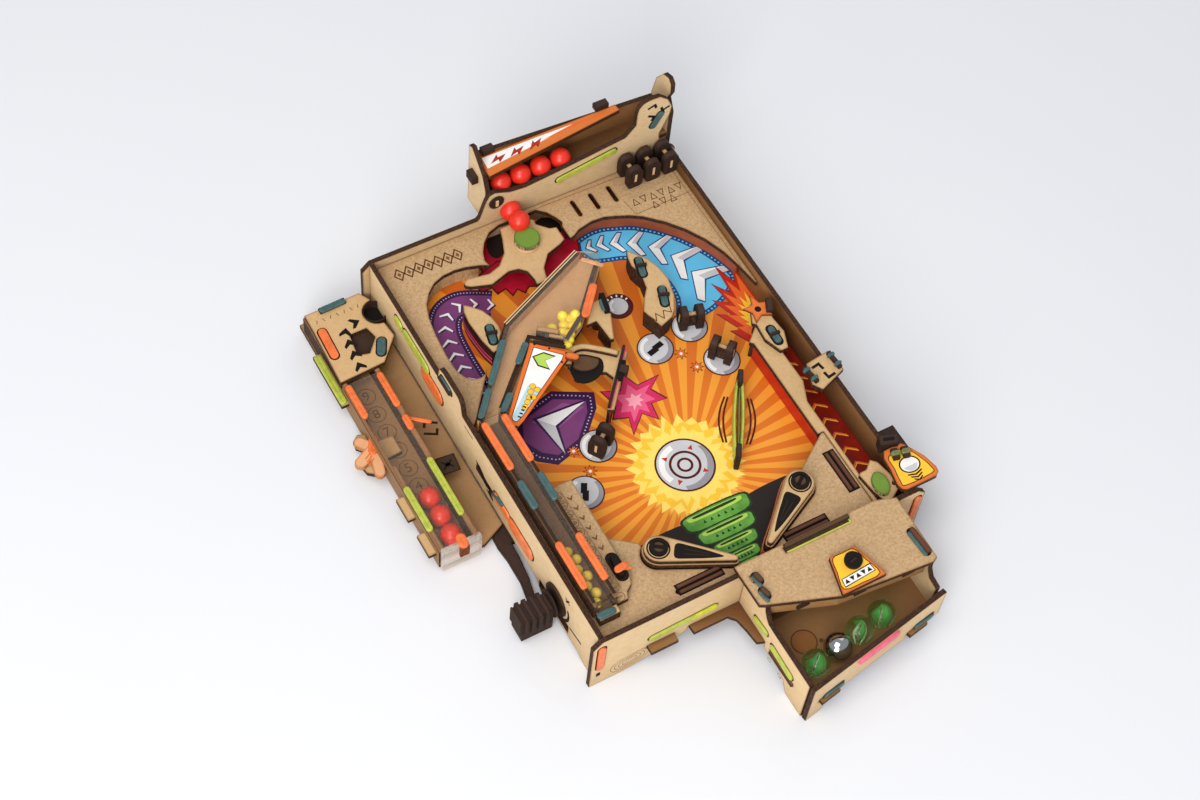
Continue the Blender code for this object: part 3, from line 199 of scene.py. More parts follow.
def offset(path: Sequence[Point], distance: float, closed: bool = False) -> Outline:
    """A path moved to its left, with mitred corners.

    Args:
        path: The path.
        distance: Millimetres to the left, negative to the right.
        closed: Whether its end joins its start.

    Returns:
        The moved path.
    """
    moved, count = [], len(path)
    for i, here in enumerate(path):
        before = heading(path[i - 1], here) if i or closed else None
        after = heading(here, path[(i + 1) % count]) if i + 1 < count or closed else None
        first, second = before or after, after or before
        nx, ny = -(first[1] + second[1]), first[0] + second[0]
        scale = max(1 + first[0] * second[0] + first[1] * second[1], 0.35)
        moved.append((here[0] + distance * nx / scale, here[1] + distance * ny / scale))
    return moved


def ribbon(path: Sequence[Point], width: float) -> Outline:
    """A strip of a width, centred on an open path."""
    return offset(path, width / 2) + offset(path, -width / 2)[::-1]


def smooth(points: Sequence[Point], steps: int = 5, closed: bool = True) -> Outline:
    """A rounded line through the points (a Catmull-Rom spline).

    Args:
        points: Places that it passes.
        steps: Steps between two of them.
        closed: Whether its end joins its start.

    Returns:
        The line.
    """
    count, line = len(points), []
    for i in range(count if closed else count - 1):
        picks = [(i + k) % count if closed else min(max(i + k, 0), count - 1) for k in (-1, 0, 1, 2)]
        around = [points[pick] for pick in picks]
        for step in range(steps):
            t = step / steps
            weights = (-t + 2 * t * t - t ** 3, 2 - 5 * t * t + 3 * t ** 3, t + 4 * t * t - 3 * t ** 3,
                t ** 3 - t * t)
            line.append(tuple(sum(w * p[axis] for w, p in zip(weights, around)) / 2 for axis in (0, 1)))
    return line if closed else line + [points[-1]]


def along(path: Sequence[Point], share: float) -> tuple[Point, float]:
    """Place and heading in degrees at a share of a path's length.

    Args:
        path: The path.
        share: Share of its length, from 0 to 1.

    Returns:
        The place, and the heading there.
    """
    spans = [math.dist(a, b) for a, b in zip(path, path[1:])]
    left = share * sum(spans)
    for (a, b), span in zip(zip(path, path[1:]), spans):
        if left <= span or b == path[-1]:
            way = heading(a, b)
            return (a[0] + way[0] * left, a[1] + way[1] * left), math.degrees(math.atan2(way[1], way[0]))
        left -= span
    raise ValueError("share is past the end of the path")


# Shading

def linear(colour: str) -> tuple[float, float, float, float]:
    """Turns an sRGB hex colour into the linear values that shaders take."""
    values = [int(colour[i:i + 2], 16) / 255 for i in (1, 3, 5)]
    return tuple(v / 12.92 if v <= 0.04045 else ((v + 0.055) / 1.055) ** 2.4 for v in values) + (1.0,)


def per_mm(size: float) -> float:
    """Texture scale for a pattern whose features are so many millimetres wide."""
    return 1.0 / (size * MM)


class Graph:
    """Adds nodes to one material."""

    def __init__(self, name: str) -> None:
        self.material = bpy.data.materials.new(name)
        self.material.use_nodes = True
        self.nodes, self.links = self.material.node_tree.nodes, self.material.node_tree.links
        self.nodes.clear()

    def add(self, kind: str, sockets: Optional[dict] = None, **settings) -> bpy.types.Node:
        """Adds a node, sets its options and its sockets, and links the sockets given as outputs.

        Args:
            kind: The node's type, without its ShaderNode prefix.
            sockets: Input names or numbers, with a value or another node's output.
            **settings: Options of the node.

        Returns:
            The node.
        """
        node = self.nodes.new("ShaderNode" + kind)
        for option, value in settings.items():
            setattr(node, option, value)
        for socket, value in (sockets or {}).items():
            if isinstance(value, bpy.types.NodeSocket):
                self.links.new(value, node.inputs[socket])
            else:
                node.inputs[socket].default_value = value
        return node

    def maths(self, operation: str, a: Input, b: Input = 0.5) -> Socket:
        """One sum, as an output."""
        return self.add("Math", {0: a, 1: b}, operation=operation).outputs[0]

    def mix(self, factor: Input, a: Input, b: Input) -> Socket:
        """Mixes two colours, as an output."""
        return self.add("Mix", {0: factor, 6: a, 7: b}, data_type="RGBA").outputs[2]

    def span(self, value: Input, low: float, high: float, to_low: float = 0.0, to_high: float = 1.0) -> Socket:
        """Maps a range smoothly, as an output."""
        return self.add("MapRange", {0: value, 1: low, 2: high, 3: to_low, 4: to_high},
            interpolation_type="SMOOTHSTEP").outputs[0]

    def noise(self, vector: Socket, size: float, detail: float = 3.0, roughness: float = 0.55) -> Socket:
        """Noise with features of a size in millimetres, as an output."""
        return self.add("TexNoise", {"Vector": vector, "Scale": per_mm(size), "Detail": detail,
            "Roughness": roughness}).outputs["Fac"]

    def stretched(self, vector: Socket, scale: Sequence[float]) -> Socket:
        """Coordinates squeezed along each axis, as an output."""
        return self.add("Mapping", {"Vector": vector, "Scale": scale}).outputs[0]

    def place(self) -> Socket:
        """The piece's own coordinates, as an output."""
        return self.add("TexCoord").outputs["Object"]

    def finish(self, shader: bpy.types.Node) -> bpy.types.Material:
        """Closes the material with its output."""
        output = self.add("OutputMaterial", {"Surface": shader.outputs[0]})
        output.is_active_output = True
        return self.material


class Finish:
    """A surface finish, made into a material once."""

    made: dict = {}

    @property
    def title(self) -> str:
        """Name of the material."""
        return type(self).__name__

    def build(self, graph: Graph) -> bpy.types.Node:
        """Adds the finish's nodes.

        Args:
            graph: The material.

        Returns:
            Its shader.
        """
        raise NotImplementedError

    def material(self) -> bpy.types.Material:
        """The material, shared by every piece with the same values."""
        if self not in Finish.made:
            graph = Graph(self.title)
            Finish.made[self] = graph.finish(self.build(graph))
        return Finish.made[self]


@dataclass(frozen=True)
class CutSheet(Finish):
    """Laser-cut board: pale faces with fine fibres, toasted rims, cut edges burnt dark brown, and painted shade
    where other parts stand close round it.
    """

    face: str = "#C8A67C"
    shade: str = "#A98558"
    toast: str = "#7C5632"
    burnt: str = "#2A1A11"
    ember: str = "#503423"
    across: tuple = (0.0, 0.0, 1.0)
    grain: tuple = (1.0, 1.0, 1.0)
    fleck: float = 0.45
    cloud: float = 5.0
    roughness: float = 0.62
    toast_reach: float = 1.1
    # Painted shade: its colour, strength and reach, darkening the board where other parts stand close.
    painted_shade_colour: str = "#4A2610"
    hollow: float = 0.0
    painted_shade_reach: float = 34.0

    def build(self, graph: Graph) -> bpy.types.Node:
        """Adds the board's nodes.

        Args:
            graph: The material.

        Returns:
            Its shader.
        """
        where = graph.place()
        normal = graph.add("TexCoord").outputs["Normal"]
        facing = graph.add("VectorMath", {0: normal, 1: self.across}, operation="DOT_PRODUCT")
        face = graph.span(graph.maths("ABSOLUTE", facing.outputs["Value"]), 0.45, 0.75)
        fibres = graph.noise(graph.stretched(where, self.grain), self.fleck, 4.0, 0.7)
        clouds = graph.noise(where, self.cloud, 3.0)
        wood = graph.mix(graph.span(fibres, 0.34, 0.72, 0.0, 0.75), linear(self.face), linear(self.shade))
        wood = graph.mix(graph.span(clouds, 0.40, 0.75, 0.0, 0.25), wood, linear(self.shade))
        # Painted shade: ambient occlusion darkens the wood towards a deep brown where other parts stand close, in
        # place of the shade they cast.
        if self.hollow:
            painted_shade_ao = graph.add("AmbientOcclusion", {"Distance": self.painted_shade_reach * MM}, samples=6)
            depth = graph.span(painted_shade_ao.outputs["AO"], 0.25, 0.95, self.hollow, 0.0)
            wood = graph.mix(depth, wood, linear(self.painted_shade_colour))
        near = graph.add("AmbientOcclusion", {"Distance": self.toast_reach * MM}, samples=4, inside=True,
            only_local=True)
        rim = graph.span(near.outputs["AO"], 0.55, 0.98, 0.85, 0.0)
        wood = graph.mix(rim, wood, linear(self.toast))
        streaks = graph.noise(graph.stretched(where, (1.0, 1.0, 0.18)), 0.7, 3.0)
        char = graph.mix(graph.span(streaks, 0.35, 0.7), linear(self.burnt), linear(self.ember))
        colour = graph.mix(face, char, wood)
        bump = graph.add("Bump", {"Strength": 0.22, "Distance": 0.12 * MM, "Height": fibres})
        rough = graph.span(face, 0.0, 1.0, self.roughness + 0.12, self.roughness)
        return graph.add("BsdfPrincipled", {"Base Color": colour, "Roughness": rough, "Specular IOR Level": 0.2,
            "Normal": bump.outputs[0]})


@dataclass(frozen=True)
class Ink(Finish):
    """Printed ink on board: flat colour with a slight tooth, a little uneven, and a satin coat."""

    colour: str = "#D9641E"
    deep: str = ""
    grade: float = 0.25
    cloud: float = 9.0
    roughness: float = 0.42

    @property
    def title(self) -> str:
        """Name of the material."""
        return "Ink_" + self.colour[1:]

    def build(self, graph: Graph) -> bpy.types.Node:
        """Adds the ink's nodes.

        Args:
            graph: The material.

        Returns:
            Its shader.
        """
        where = graph.place()
        tooth = graph.noise(where, 0.35, 2.0)
        clouds = graph.noise(where, self.cloud, 2.0)
        base = linear(self.colour)
        deep = linear(self.deep) if self.deep else tuple(v * 0.72 for v in base[:3]) + (1.0,)
        colour = graph.mix(graph.span(clouds, 0.35, 0.7, 0.0, self.grade), base, deep)
        colour = graph.mix(graph.span(tooth, 0.45, 0.8, 0.0, 0.18), colour, deep)
        bump = graph.add("Bump", {"Strength": 0.12, "Distance": 0.05 * MM, "Height": tooth})
        return graph.add("BsdfPrincipled", {"Base Color": colour, "Roughness": self.roughness,
            "Specular IOR Level": 0.22, "Normal": bump.outputs[0]})


@dataclass(frozen=True)
class Sunburst(Finish):
    """The playing field's print: rays of two oranges that glow yellow round the middle target."""

    centre: Point = (104.0, 78.0)
    rays: int = 42
    bright: str = "#EC9C34"
    deep: str = "#D97420"
    glow: str = "#F8CE58"
    ember: str = "#C4601A"
    burnt: str = "#2A1A11"
    far: str = "#E28C28"

    def build(self, graph: Graph) -> bpy.types.Node:
        """Adds the print's nodes.

        Args:
            graph: The material.

        Returns:
            Its shader.
        """
        where = graph.place()
        middle = PLAN.at(*self.centre, 0.0)
        local = graph.add("VectorMath", {0: where, 1: tuple(middle)}, operation="SUBTRACT").outputs[0]
        parts = graph.add("SeparateXYZ", {0: local})
        angle = graph.maths("ARCTAN2", parts.outputs[1], parts.outputs[0])
        flat = graph.add("CombineXYZ", {0: parts.outputs[0], 1: parts.outputs[1]}).outputs[0]
        reach = graph.add("VectorMath", {0: flat}, operation="LENGTH").outputs["Value"]
        wave = graph.maths("SINE", graph.maths("MULTIPLY", angle, float(self.rays)))
        ray = graph.span(wave, -0.12, 0.12)
        light = graph.mix(graph.span(reach, 20 * MM, 150 * MM), linear(self.bright), linear(self.far))
        dark = graph.mix(graph.span(reach, 20 * MM, 150 * MM), linear(self.deep), linear(self.ember))
        colour = graph.mix(ray, dark, light)
        edge = graph.maths("ADD", reach, graph.maths("MULTIPLY", wave, 3.0 * MM))
        colour = graph.mix(graph.span(edge, 31 * MM, 24 * MM), colour, linear(self.glow))
        tooth = graph.noise(where, 0.35, 2.0)
        colour = graph.mix(graph.span(tooth, 0.45, 0.8, 0.0, 0.12), colour, linear(self.ember))
        normal = graph.add("TexCoord").outputs["Normal"]
        up = graph.add("SeparateXYZ", {0: normal}).outputs[2]
        colour = graph.mix(graph.span(up, 0.4, 0.7), linear(self.burnt), colour)
        bump = graph.add("Bump", {"Strength": 0.12, "Distance": 0.05 * MM, "Height": tooth})
        return graph.add("BsdfPrincipled", {"Base Color": colour, "Roughness": 0.42, "Specular IOR Level": 0.22,
            "Normal": bump.outputs[0]})


@dataclass(frozen=True)
class BandRubber(Finish):
    """Stretched rubber band: bright soft rubber with a waxy sheen and fine dust."""

    colour: str = "#E8702E"
    roughness: float = 0.36

    @property
    def title(self) -> str:
        """Name of the material."""
        return "BandRubber_" + self.colour[1:]

    def build(self, graph: Graph) -> bpy.types.Node:
        """Adds the rubber's nodes.

        Args:
            graph: The material.

        Returns:
            Its shader.
        """
        where = graph.place()
        dust = graph.noise(where, 0.6, 3.0)
        clouds = graph.noise(where, 4.0, 2.0)
        base = linear(self.colour)
        deep = tuple(v * 0.6 for v in base[:3]) + (1.0,)
        colour = graph.mix(graph.span(clouds, 0.35, 0.7, 0.0, 0.5), base, deep)
        colour = graph.mix(graph.span(dust, 0.55, 0.8, 0.0, 0.2), colour, linear("#E8DCC8"))
        bump = graph.add("Bump", {"Strength": 0.2, "Distance": 0.1 * MM, "Height": dust})
        return graph.add("BsdfPrincipled", {"Base Color": colour, "Roughness": self.roughness,
            "Subsurface Weight": 0.15, "Subsurface Scale": 0.6 * MM, "Specular IOR Level": 0.5,
            "Normal": bump.outputs[0]})


@dataclass(frozen=True)
class ClearSheet(Finish):
    """Thin clear plastic: shows what is under it, with soft glare, dust and a grey-brown tint."""

    tint: str = "#F7F2EC"
    haze: float = 0.035
    haze_colour: str = "#D8CDC0"

    def build(self, graph: Graph) -> bpy.types.Node:
        """Adds the sheet's nodes.

        Args:
            graph: The material.

        Returns:
            Its shader.
        """
        where = graph.place()
        dust = graph.noise(where, 1.6, 4.0)
        clear = graph.add("BsdfTransparent", {"Color": linear(self.tint)})
        glare = graph.add("BsdfGlossy", {"Color": (1, 1, 1, 1), "Roughness": 0.09})
        film = graph.add("BsdfDiffuse", {"Color": linear(self.haze_colour)})
        amount = graph.add("LayerWeight", {"Blend": 0.22}).outputs["Fresnel"]
        body = graph.add("MixShader", {0: graph.span(dust, 0.3, 0.8, self.haze * 0.5, self.haze * 1.6),
            1: clear.outputs[0], 2: film.outputs[0]})
        seen = graph.add("MixShader", {0: graph.maths("MULTIPLY", amount, 0.8), 1: body.outputs[0],
            2: glare.outputs[0]})
        lit_through = graph.add("BsdfTransparent", {"Color": linear("#FFFDFA")})
        is_shadow = graph.add("LightPath").outputs["Is Shadow Ray"]
        return graph.add("MixShader", {0: is_shadow, 1: seen.outputs[0], 2: lit_through.outputs[0]})


@dataclass(frozen=True)
class MarbleGlass(Finish):
    """Glass marble: thick clear green glass with bright reflections and a few seeds."""

    colour: str = "#E9F6E6"
    seed_colour: str = "#C4E4BE"
    through: float = 0.5

    def build(self, graph: Graph) -> bpy.types.Node:
        """Adds the glass's nodes.

        Args:
            graph: The material.

        Returns:
            Its shader.
        """
        where = graph.place()
        seeds = graph.noise(where, 1.2, 2.0)
        colour = graph.mix(graph.span(seeds, 0.5, 0.8, 0.0, 0.35), linear(self.colour), linear(self.seed_colour))
        glass = graph.add("BsdfGlass", {"Color": colour, "Roughness": 0.0, "IOR": 1.5})
        clear = graph.add("BsdfTransparent", {"Color": linear("#DCEBD4")})
        body = graph.add("MixShader", {0: self.through, 1: glass.outputs[0], 2: clear.outputs[0]})
        is_shadow = graph.add("LightPath").outputs["Is Shadow Ray"]
        return graph.add("MixShader", {0: is_shadow, 1: body.outputs[0], 2: clear.outputs[0]})


@dataclass(frozen=True)
class PolishedSteel(Finish):
    """Steel marble: a mirror with the faintest haze of handling."""

    colour: str = "#B9BDC2"

    def build(self, graph: Graph) -> bpy.types.Node:
        """Adds the steel's nodes.

        Args:
            graph: The material.

        Returns:
            Its shader.
        """
        marks = graph.noise(graph.place(), 1.5, 4.0)
        rough = graph.span(marks, 0.4, 0.8, 0.04, 0.12)
        return graph.add("BsdfPrincipled", {"Base Color": linear(self.colour), "Metallic": 1.0,
            "Roughness": rough})


@dataclass(frozen=True)
class BeadPlastic(Finish):
    """Small moulded ball: smooth bright plastic that glows a little and is slightly scuffed."""

    colour: str = "#D92B20"

    @property
    def title(self) -> str:
        """Name of the material."""
        return "BeadPlastic_" + self.colour[1:]

    def build(self, graph: Graph) -> bpy.types.Node:
        """Adds the plastic's nodes.

        Args:
            graph: The material.

        Returns:
            Its shader.
        """
        scuffs = graph.noise(graph.place(), 0.8, 3.0)
        rough = graph.span(scuffs, 0.4, 0.75, 0.28, 0.42)
        base = linear(self.colour)
        deep = tuple(v * 0.75 for v in base[:3]) + (1.0,)
        colour = graph.mix(graph.span(scuffs, 0.45, 0.8, 0.0, 0.25), base, deep)
        return graph.add("BsdfPrincipled", {"Base Color": colour, "Roughness": rough, "Subsurface Weight": 0.25,
            "Subsurface Scale": 1.5 * MM})


WALL_AXIS_X = (1.0, 0.0, 0.0)
WALL_AXIS_Y = (0.0, 1.0, 0.0)
# hollow below sets the strength of each board's painted shade in recesses.
BIRCH = CutSheet("#CFAD81", "#B8935F", grain=(1.0, 0.25, 1.0), fleck=0.4)
BIRCH_X = CutSheet("#E2C79D", "#CBA878", grain=(1.0, 0.12, 1.0), fleck=0.6, cloud=9.0, across=WALL_AXIS_X,
    hollow=0.35)
BIRCH_Y = CutSheet("#E2C79D", "#CBA878", grain=(0.12, 1.0, 1.0), fleck=0.6, cloud=9.0, across=WALL_AXIS_Y,
    hollow=0.35)
TRAY_BOARD = CutSheet("#C29A6E", "#A57C50", fleck=1.2, hollow=0.25)
BOARD = CutSheet("#C6A57C", "#9E7C56", fleck=1.6, hollow=0.3)
# A lighter copy of the board: painted light that lifts the vault floor out of the shade under the clear roof.
VAULT_BOARD_PAINTED_LIGHT = CutSheet("#D8B48A", "#BE976A")
# A darker, more saturated board, with strong painted shade in its recesses.
BASE_PAINTED_SHADE = CutSheet("#C39660", "#A07545", hollow=0.92, painted_shade_reach=42.0)
# A darker brown board for the refill channel, darkened further as painted shade for its shaded floor.
FLOOR_PAINTED_SHADE = CutSheet("#A9845C", "#8A6742")
# Darker still: painted shade for the score channel's floor.
SCORE_FLOOR_PAINTED_SHADE = CutSheet("#7E5C3E", "#684A30")
# A darker copy of the wall birch: painted shade for the right wall's shaded inner face, with strong painted shade in
# recesses too.
PAINTED_SHADE_X = CutSheet("#A97D4E", "#8C6338", across=WALL_AXIS_X, hollow=0.85)
# A darker copy of the wall birch: painted shade for the tower's back wall and the tray lip.
PAINTED_SHADE_Y = CutSheet("#B98C5A", "#9A6F42", across=WALL_AXIS_Y, hollow=0.5)
DARK = CutSheet("#43302A", "#2E1F19", "#1E130D", "#2A1C16", "#3A2820", fleck=0.6)
SOOT_WOOD = CutSheet("#5F452F", "#4A3422", "#2A1C12", "#20140D", "#3A2617")
PEACH_WOOD = CutSheet("#E2AE82", "#D0905F", "#A86A40", "#C98A5C", "#8A5A38")
ORANGE_WOOD = CutSheet("#E27A3A", "#C9602A", "#8A3E18", "#5A2A12", "#8A4420")
ORANGE_BOARD = CutSheet("#D97A3A", "#C4662C", "#A04E20", "#3A2012", "#5A3018")
OLIVE_CAP = CutSheet("#74923A", "#5E7A2C", "#3E4E22", "#2E3A18", "#C9B486")
RUSSET = CutSheet("#6E4430", "#573322", "#3A2014", "#20140D", "#3A2617")
TERRACOTTA = Ink("#A85632", "#7E3A20", grade=0.5)
VAULT_STRIP = CutSheet("#2A1A11", "#3A271A", "#2A1A11", "#C9A67A", "#A98558")
CHAR = Ink("#22160F", "#120B07", roughness=0.85)
BLACK = Ink("#120C09", "#080504", roughness=0.7)
SOOT = Ink("#3C2A1E", "#2A1C12", roughness=0.8)
BURN = Ink("#7A5230", "#5A381E", roughness=0.85)
BURN_DEEP = Ink("#5C3A20", "#402412", roughness=0.85)
RUSSET_INK = Ink("#8A5A32", "#6E4422", roughness=0.8)
PALE_EDGE = Ink("#D8B78C", "#B8925F", roughness=0.7)
NAVY = Ink("#3A1D4A", "#281236")
PURPLE = Ink("#7C3F74", "#5E2A5C")
PURPLE_PALE = Ink("#93558C", "#74406E")
LILAC = Ink("#CDB9D2", "#A08CA8")
SKY = Ink("#63BEE6", "#3FA3D8")
SKY_PALE = Ink("#B9D6DE", "#93BCC9")
INK_BLUE = Ink("#23427C", "#172D5A")
WHITE = Ink("#F0EEEC", "#CFCDCB")
GREY = Ink("#C6C5C8", "#A6A6AC")
STONE = Ink("#94929A", "#7A7880")
CRIMSON = Ink("#B8142F", "#8A0C20", grade=0.6)
MAGENTA = Ink("#D42A60", "#B01A48", grade=0.5)
ROSE = Ink("#E85F86", "#D2406C")
BLUSH_WHITE = Ink("#F3DCD2", "#DDBBAC")
BLUSH = Ink("#F4A6B4", "#E88098")
MAROON = Ink("#4E1410", "#2E0A08")
LANE_RED = Ink("#8E1A0A", "#640F05", grade=0.6)
FLAME = Ink("#E5662A", "#C44A16")
FLAME_RED = Ink("#BE2A18", "#8C180C")
YOLK = Ink("#F4C238", "#E6A822")
SUN_PALE = Ink("#F8DA6A", "#F0BE40")
OCHRE = Ink("#A87A1C", "#8A6010")
ORANGE = Ink("#E5722A", "#C9571A")
GREEN = Ink("#6AA844", "#3A7428", grade=0.7)
LIME_INK = Ink("#B4D45A", "#8CB83E")
GREEN_DARK = Ink("#1E3A16", "#10240C")
NIGHT = Ink("#241C18", "#14100D")
ORANGE_BAND = BandRubber("#EE7434")
LIME_BAND = BandRubber("#B4BE44")
YELLOW_BAND = BandRubber("#CFD02E")
TEAL_BAND = BandRubber("#3C5F60")
RUST_BAND = BandRubber("#B4542A")
PINK_BAND = BandRubber("#E8667E")
PEACH_BAND = BandRubber("#E0A070")
OLIVE_BAND = BandRubber("#6C7440")
RED_BALL = BeadPlastic("#E2301F")
YELLOW_BALL = BeadPlastic("#F6E24A")
VANE_GREEN = Ink("#4F9A50", "#2F7038", roughness=0.3)
VANE_PALE = Ink("#F0F6E6", "#C8DDBC", roughness=0.3)
CLEAR = ClearSheet()
GLASS = MarbleGlass()
STEEL = PolishedSteel()
SUNBURST = Sunburst()


# Pieces

def carry(made: bpy.types.Object, body: str, slot: str) -> bpy.types.Object:
    """Links a piece, and makes it ride on a body.

    Args:
        made: The piece.
        body: The body that it rides on.
        slot: Not used.

    Returns:
        The same piece.
    """
    if made.name not in bpy.context.scene.collection.objects:
        bpy.context.scene.collection.objects.link(made)
    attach(made, body)
    return made


def from_mesh(name: str, work: bmesh.types.BMesh, finish: Finish, body: str, slot: str, rounded: bool = False,
        bevel: float = 0.0) -> bpy.types.Object:
    """Makes a piece from mesh work.

    Args:
        name: Name of the piece.
        work: The mesh, which is freed.
        finish: Its finish.
        body: The body that it rides on.
        slot: The record's material slot.
        rounded: Whether its curved faces are shaded smooth.
        bevel: Width of its rounded edges, in millimetres.

    Returns:
        The piece.
    """
    mesh = bpy.data.meshes.new(name)
    bmesh.ops.remove_doubles(work, verts=work.verts, dist=WELD * MM)
    bmesh.ops.recalc_face_normals(work, faces=work.faces)
    work.to_mesh(mesh)
    work.free()
    mesh.materials.append(finish.material())
    made = bpy.data.objects.new(name, mesh)
    if rounded:
        mesh.shade_smooth()
        mesh.set_sharp_from_angle(angle=math.radians(SHARP))
    if bevel:
        soften(made, bevel)
    return carry(made, body, slot)


def soften(made: bpy.types.Object, width: float, segments: int = 2) -> None:
    """Rounds a piece's edges by a width in millimetres.

    Args:
        made: The piece.
        width: Width of its rounded edges.
        segments: Faces across each edge.
    """
    bevel = made.modifiers.new("rounded_edges", "BEVEL")
    bevel.width = width * MM
    bevel.segments = segments
    bevel.limit_method = "ANGLE"
    bevel.angle_limit = math.radians(40)
    bevel.harden_normals = False


def slab(name: str, outline: Outline, low: float, high: float, finish: Finish, body: str = "case",
        slot: str = "ply", holes: Sequence[Outline] = (), side: Side = Side.FLAT, bevel: float = 0.15,
        rounded: bool = True, lift: Optional[Callable] = None) -> bpy.types.Object:
    """Makes a flat sheet with holes.

    Args:
        name: Name of the piece.
        outline: Its edge, in the sheet's own two directions, in millimetres.
        low: Where its thickness starts.
        high: Where its thickness ends.
        finish: Its finish.
        body: The body that it rides on.
        slot: The record's material slot.
        holes: Outlines cut through it.
        side: Which way the sheet lies.
        bevel: Width of its rounded edges.
        rounded: Whether curved edges are shaded smooth.
        lift: Gives a place from the sheet's own coordinates, in place of side.

    Returns:
        The piece.
    """
    lifted = lift or partial(PLAN.lifted, side)
    work = bmesh.new()
    rings = [outline, *holes]
    for level in (low, high):
        corners = [[work.verts.new(lifted(u, v, level)) for u, v in ring] for ring in rings]
        flat = [vert for ring in corners for vert in ring]
        for face in tessellate_polygon([[Vector((u, v, 0)) for u, v in ring] for ring in rings]):
            work.faces.new([flat[i] for i in face])
        if level == low:
            below = corners
    for ring_low, ring_high in zip(below, corners):
        for i, start in enumerate(ring_low):
            j = (i + 1) % len(ring_low)
            work.faces.new((start, ring_low[j], ring_high[j], ring_high[i]))
    return from_mesh(name, work, finish, body, slot, rounded, bevel)


def print_on(name: str, shapes: Iterable[Outline], level: float, finish: Finish, layer: int = 1,
        body: str = "case", slot: str = "print", side: Side = Side.FLAT,
        lift: Optional[Callable] = None) -> bpy.types.Object:
    """Prints flat shapes just above a surface, higher layers over lower ones.

    Args:
        name: Name of the piece.
        shapes: Outlines in the surface's own two directions.
        level: Height of the surface.
        finish: Its finish.
        layer: Which layer of ink, negative where the surface faces the low side.
        body: The body that it rides on.
        slot: The record's material slot.
        side: Which way the surface lies.
        lift: Gives a place from the surface's own coordinates, in place of side.

    Returns:
        The piece.
    """
    lifted = lift or partial(PLAN.lifted, side)
    work = bmesh.new()
    height = level + math.copysign(LEVEL.ink * abs(layer), layer)
    for shape in shapes:
        corners = [work.verts.new(lifted(u, v, height)) for u, v in shape]
        for face in tessellate_polygon([[Vector((u, v, 0)) for u, v in shape]]):
            work.faces.new([corners[i] for i in face])
    return from_mesh(name, work, finish, body, slot)


def line_on(name: str, paths: Iterable[Sequence[Point]], width: float, level: float, finish: Finish,
        closed: bool = True, **where) -> bpy.types.Object:
    """Prints lines of a width on a surface.

    Args:
        name: Name of the piece.
        paths: The lines.
        width: Their width.
        level: Height of the surface.
        finish: Its finish.
        closed: Whether each line is a loop.
        **where: What print_on takes besides.

    Returns:
        The piece.
    """
    shapes = []
    for path in paths:
        outer, inner = (offset(path, side * width / 2, closed) for side in (1, -1))
        count = len(path)
        for i in range(count if closed else count - 1):
            j = (i + 1) % count
            shapes.append([outer[i], outer[j], inner[j], inner[i]])
    return print_on(name, shapes, level, finish, **where)


def ball(name: str, centre: Sequence[float], radius: float, finish: Finish, body: str = "case",
        slot: str = "print") -> bpy.types.Object:
    """Makes a smooth ball.

    Args:
        name: Name of the piece.
        centre: Its middle.
        radius: Its radius.
        finish: Its finish.
        body: The body that it rides on.
        slot: The record's material slot.

    Returns:
        The piece.
    """
    work = bmesh.new()
    bmesh.ops.create_icosphere(work, subdivisions=4, radius=radius * MM,
        matrix=Matrix.Translation(PLAN.at(*centre)))
    return from_mesh(name, work, finish, body, slot, rounded=True)


def tube_ring(name: str, path: Sequence[Vector], width: float, height: float, finish: Finish, body: str = "case",
        up: Vector = Vector((0, 0, 1)), slot: str = "print") -> bpy.types.Object:
    """Sweeps a rounded flat strand round a closed path.

    Args:
        name: Name of the piece.
        path: Places in metres.
        width: Width of the strand, seen from above the loop, in millimetres.
        height: Its height along the loop's axis, in millimetres.
        finish: Its finish.
        body: The body that it rides on.
        up: The loop's axis.
        slot: The record's material slot.

    Returns:
        The piece.
    """
    work = bmesh.new()
    count, around = len(path), 10
    rings = []
    for i, here in enumerate(path):
        way = (path[(i + 1) % count] - path[i - 1]).normalized()
        out = way.cross(up).normalized()
        ring = []
        for k in range(around):
            turn = 2 * math.pi * k / around
            c, s = math.cos(turn), math.sin(turn)
            flat = abs(c) ** SQUARENESS * math.copysign(1, c), abs(s) ** SQUARENESS * math.copysign(1, s)
            ring.append(work.verts.new(here + (out * flat[0] * width + up * flat[1] * height) * MM / 2))
        rings.append(ring)
    for i in range(count):
        first, second = rings[i], rings[(i + 1) % count]
        for k in range(around):
            m = (k + 1) % around
            work.faces.new((first[k], first[m], second[m], second[k]))
    return from_mesh(name, work, finish, body, slot, rounded=True)


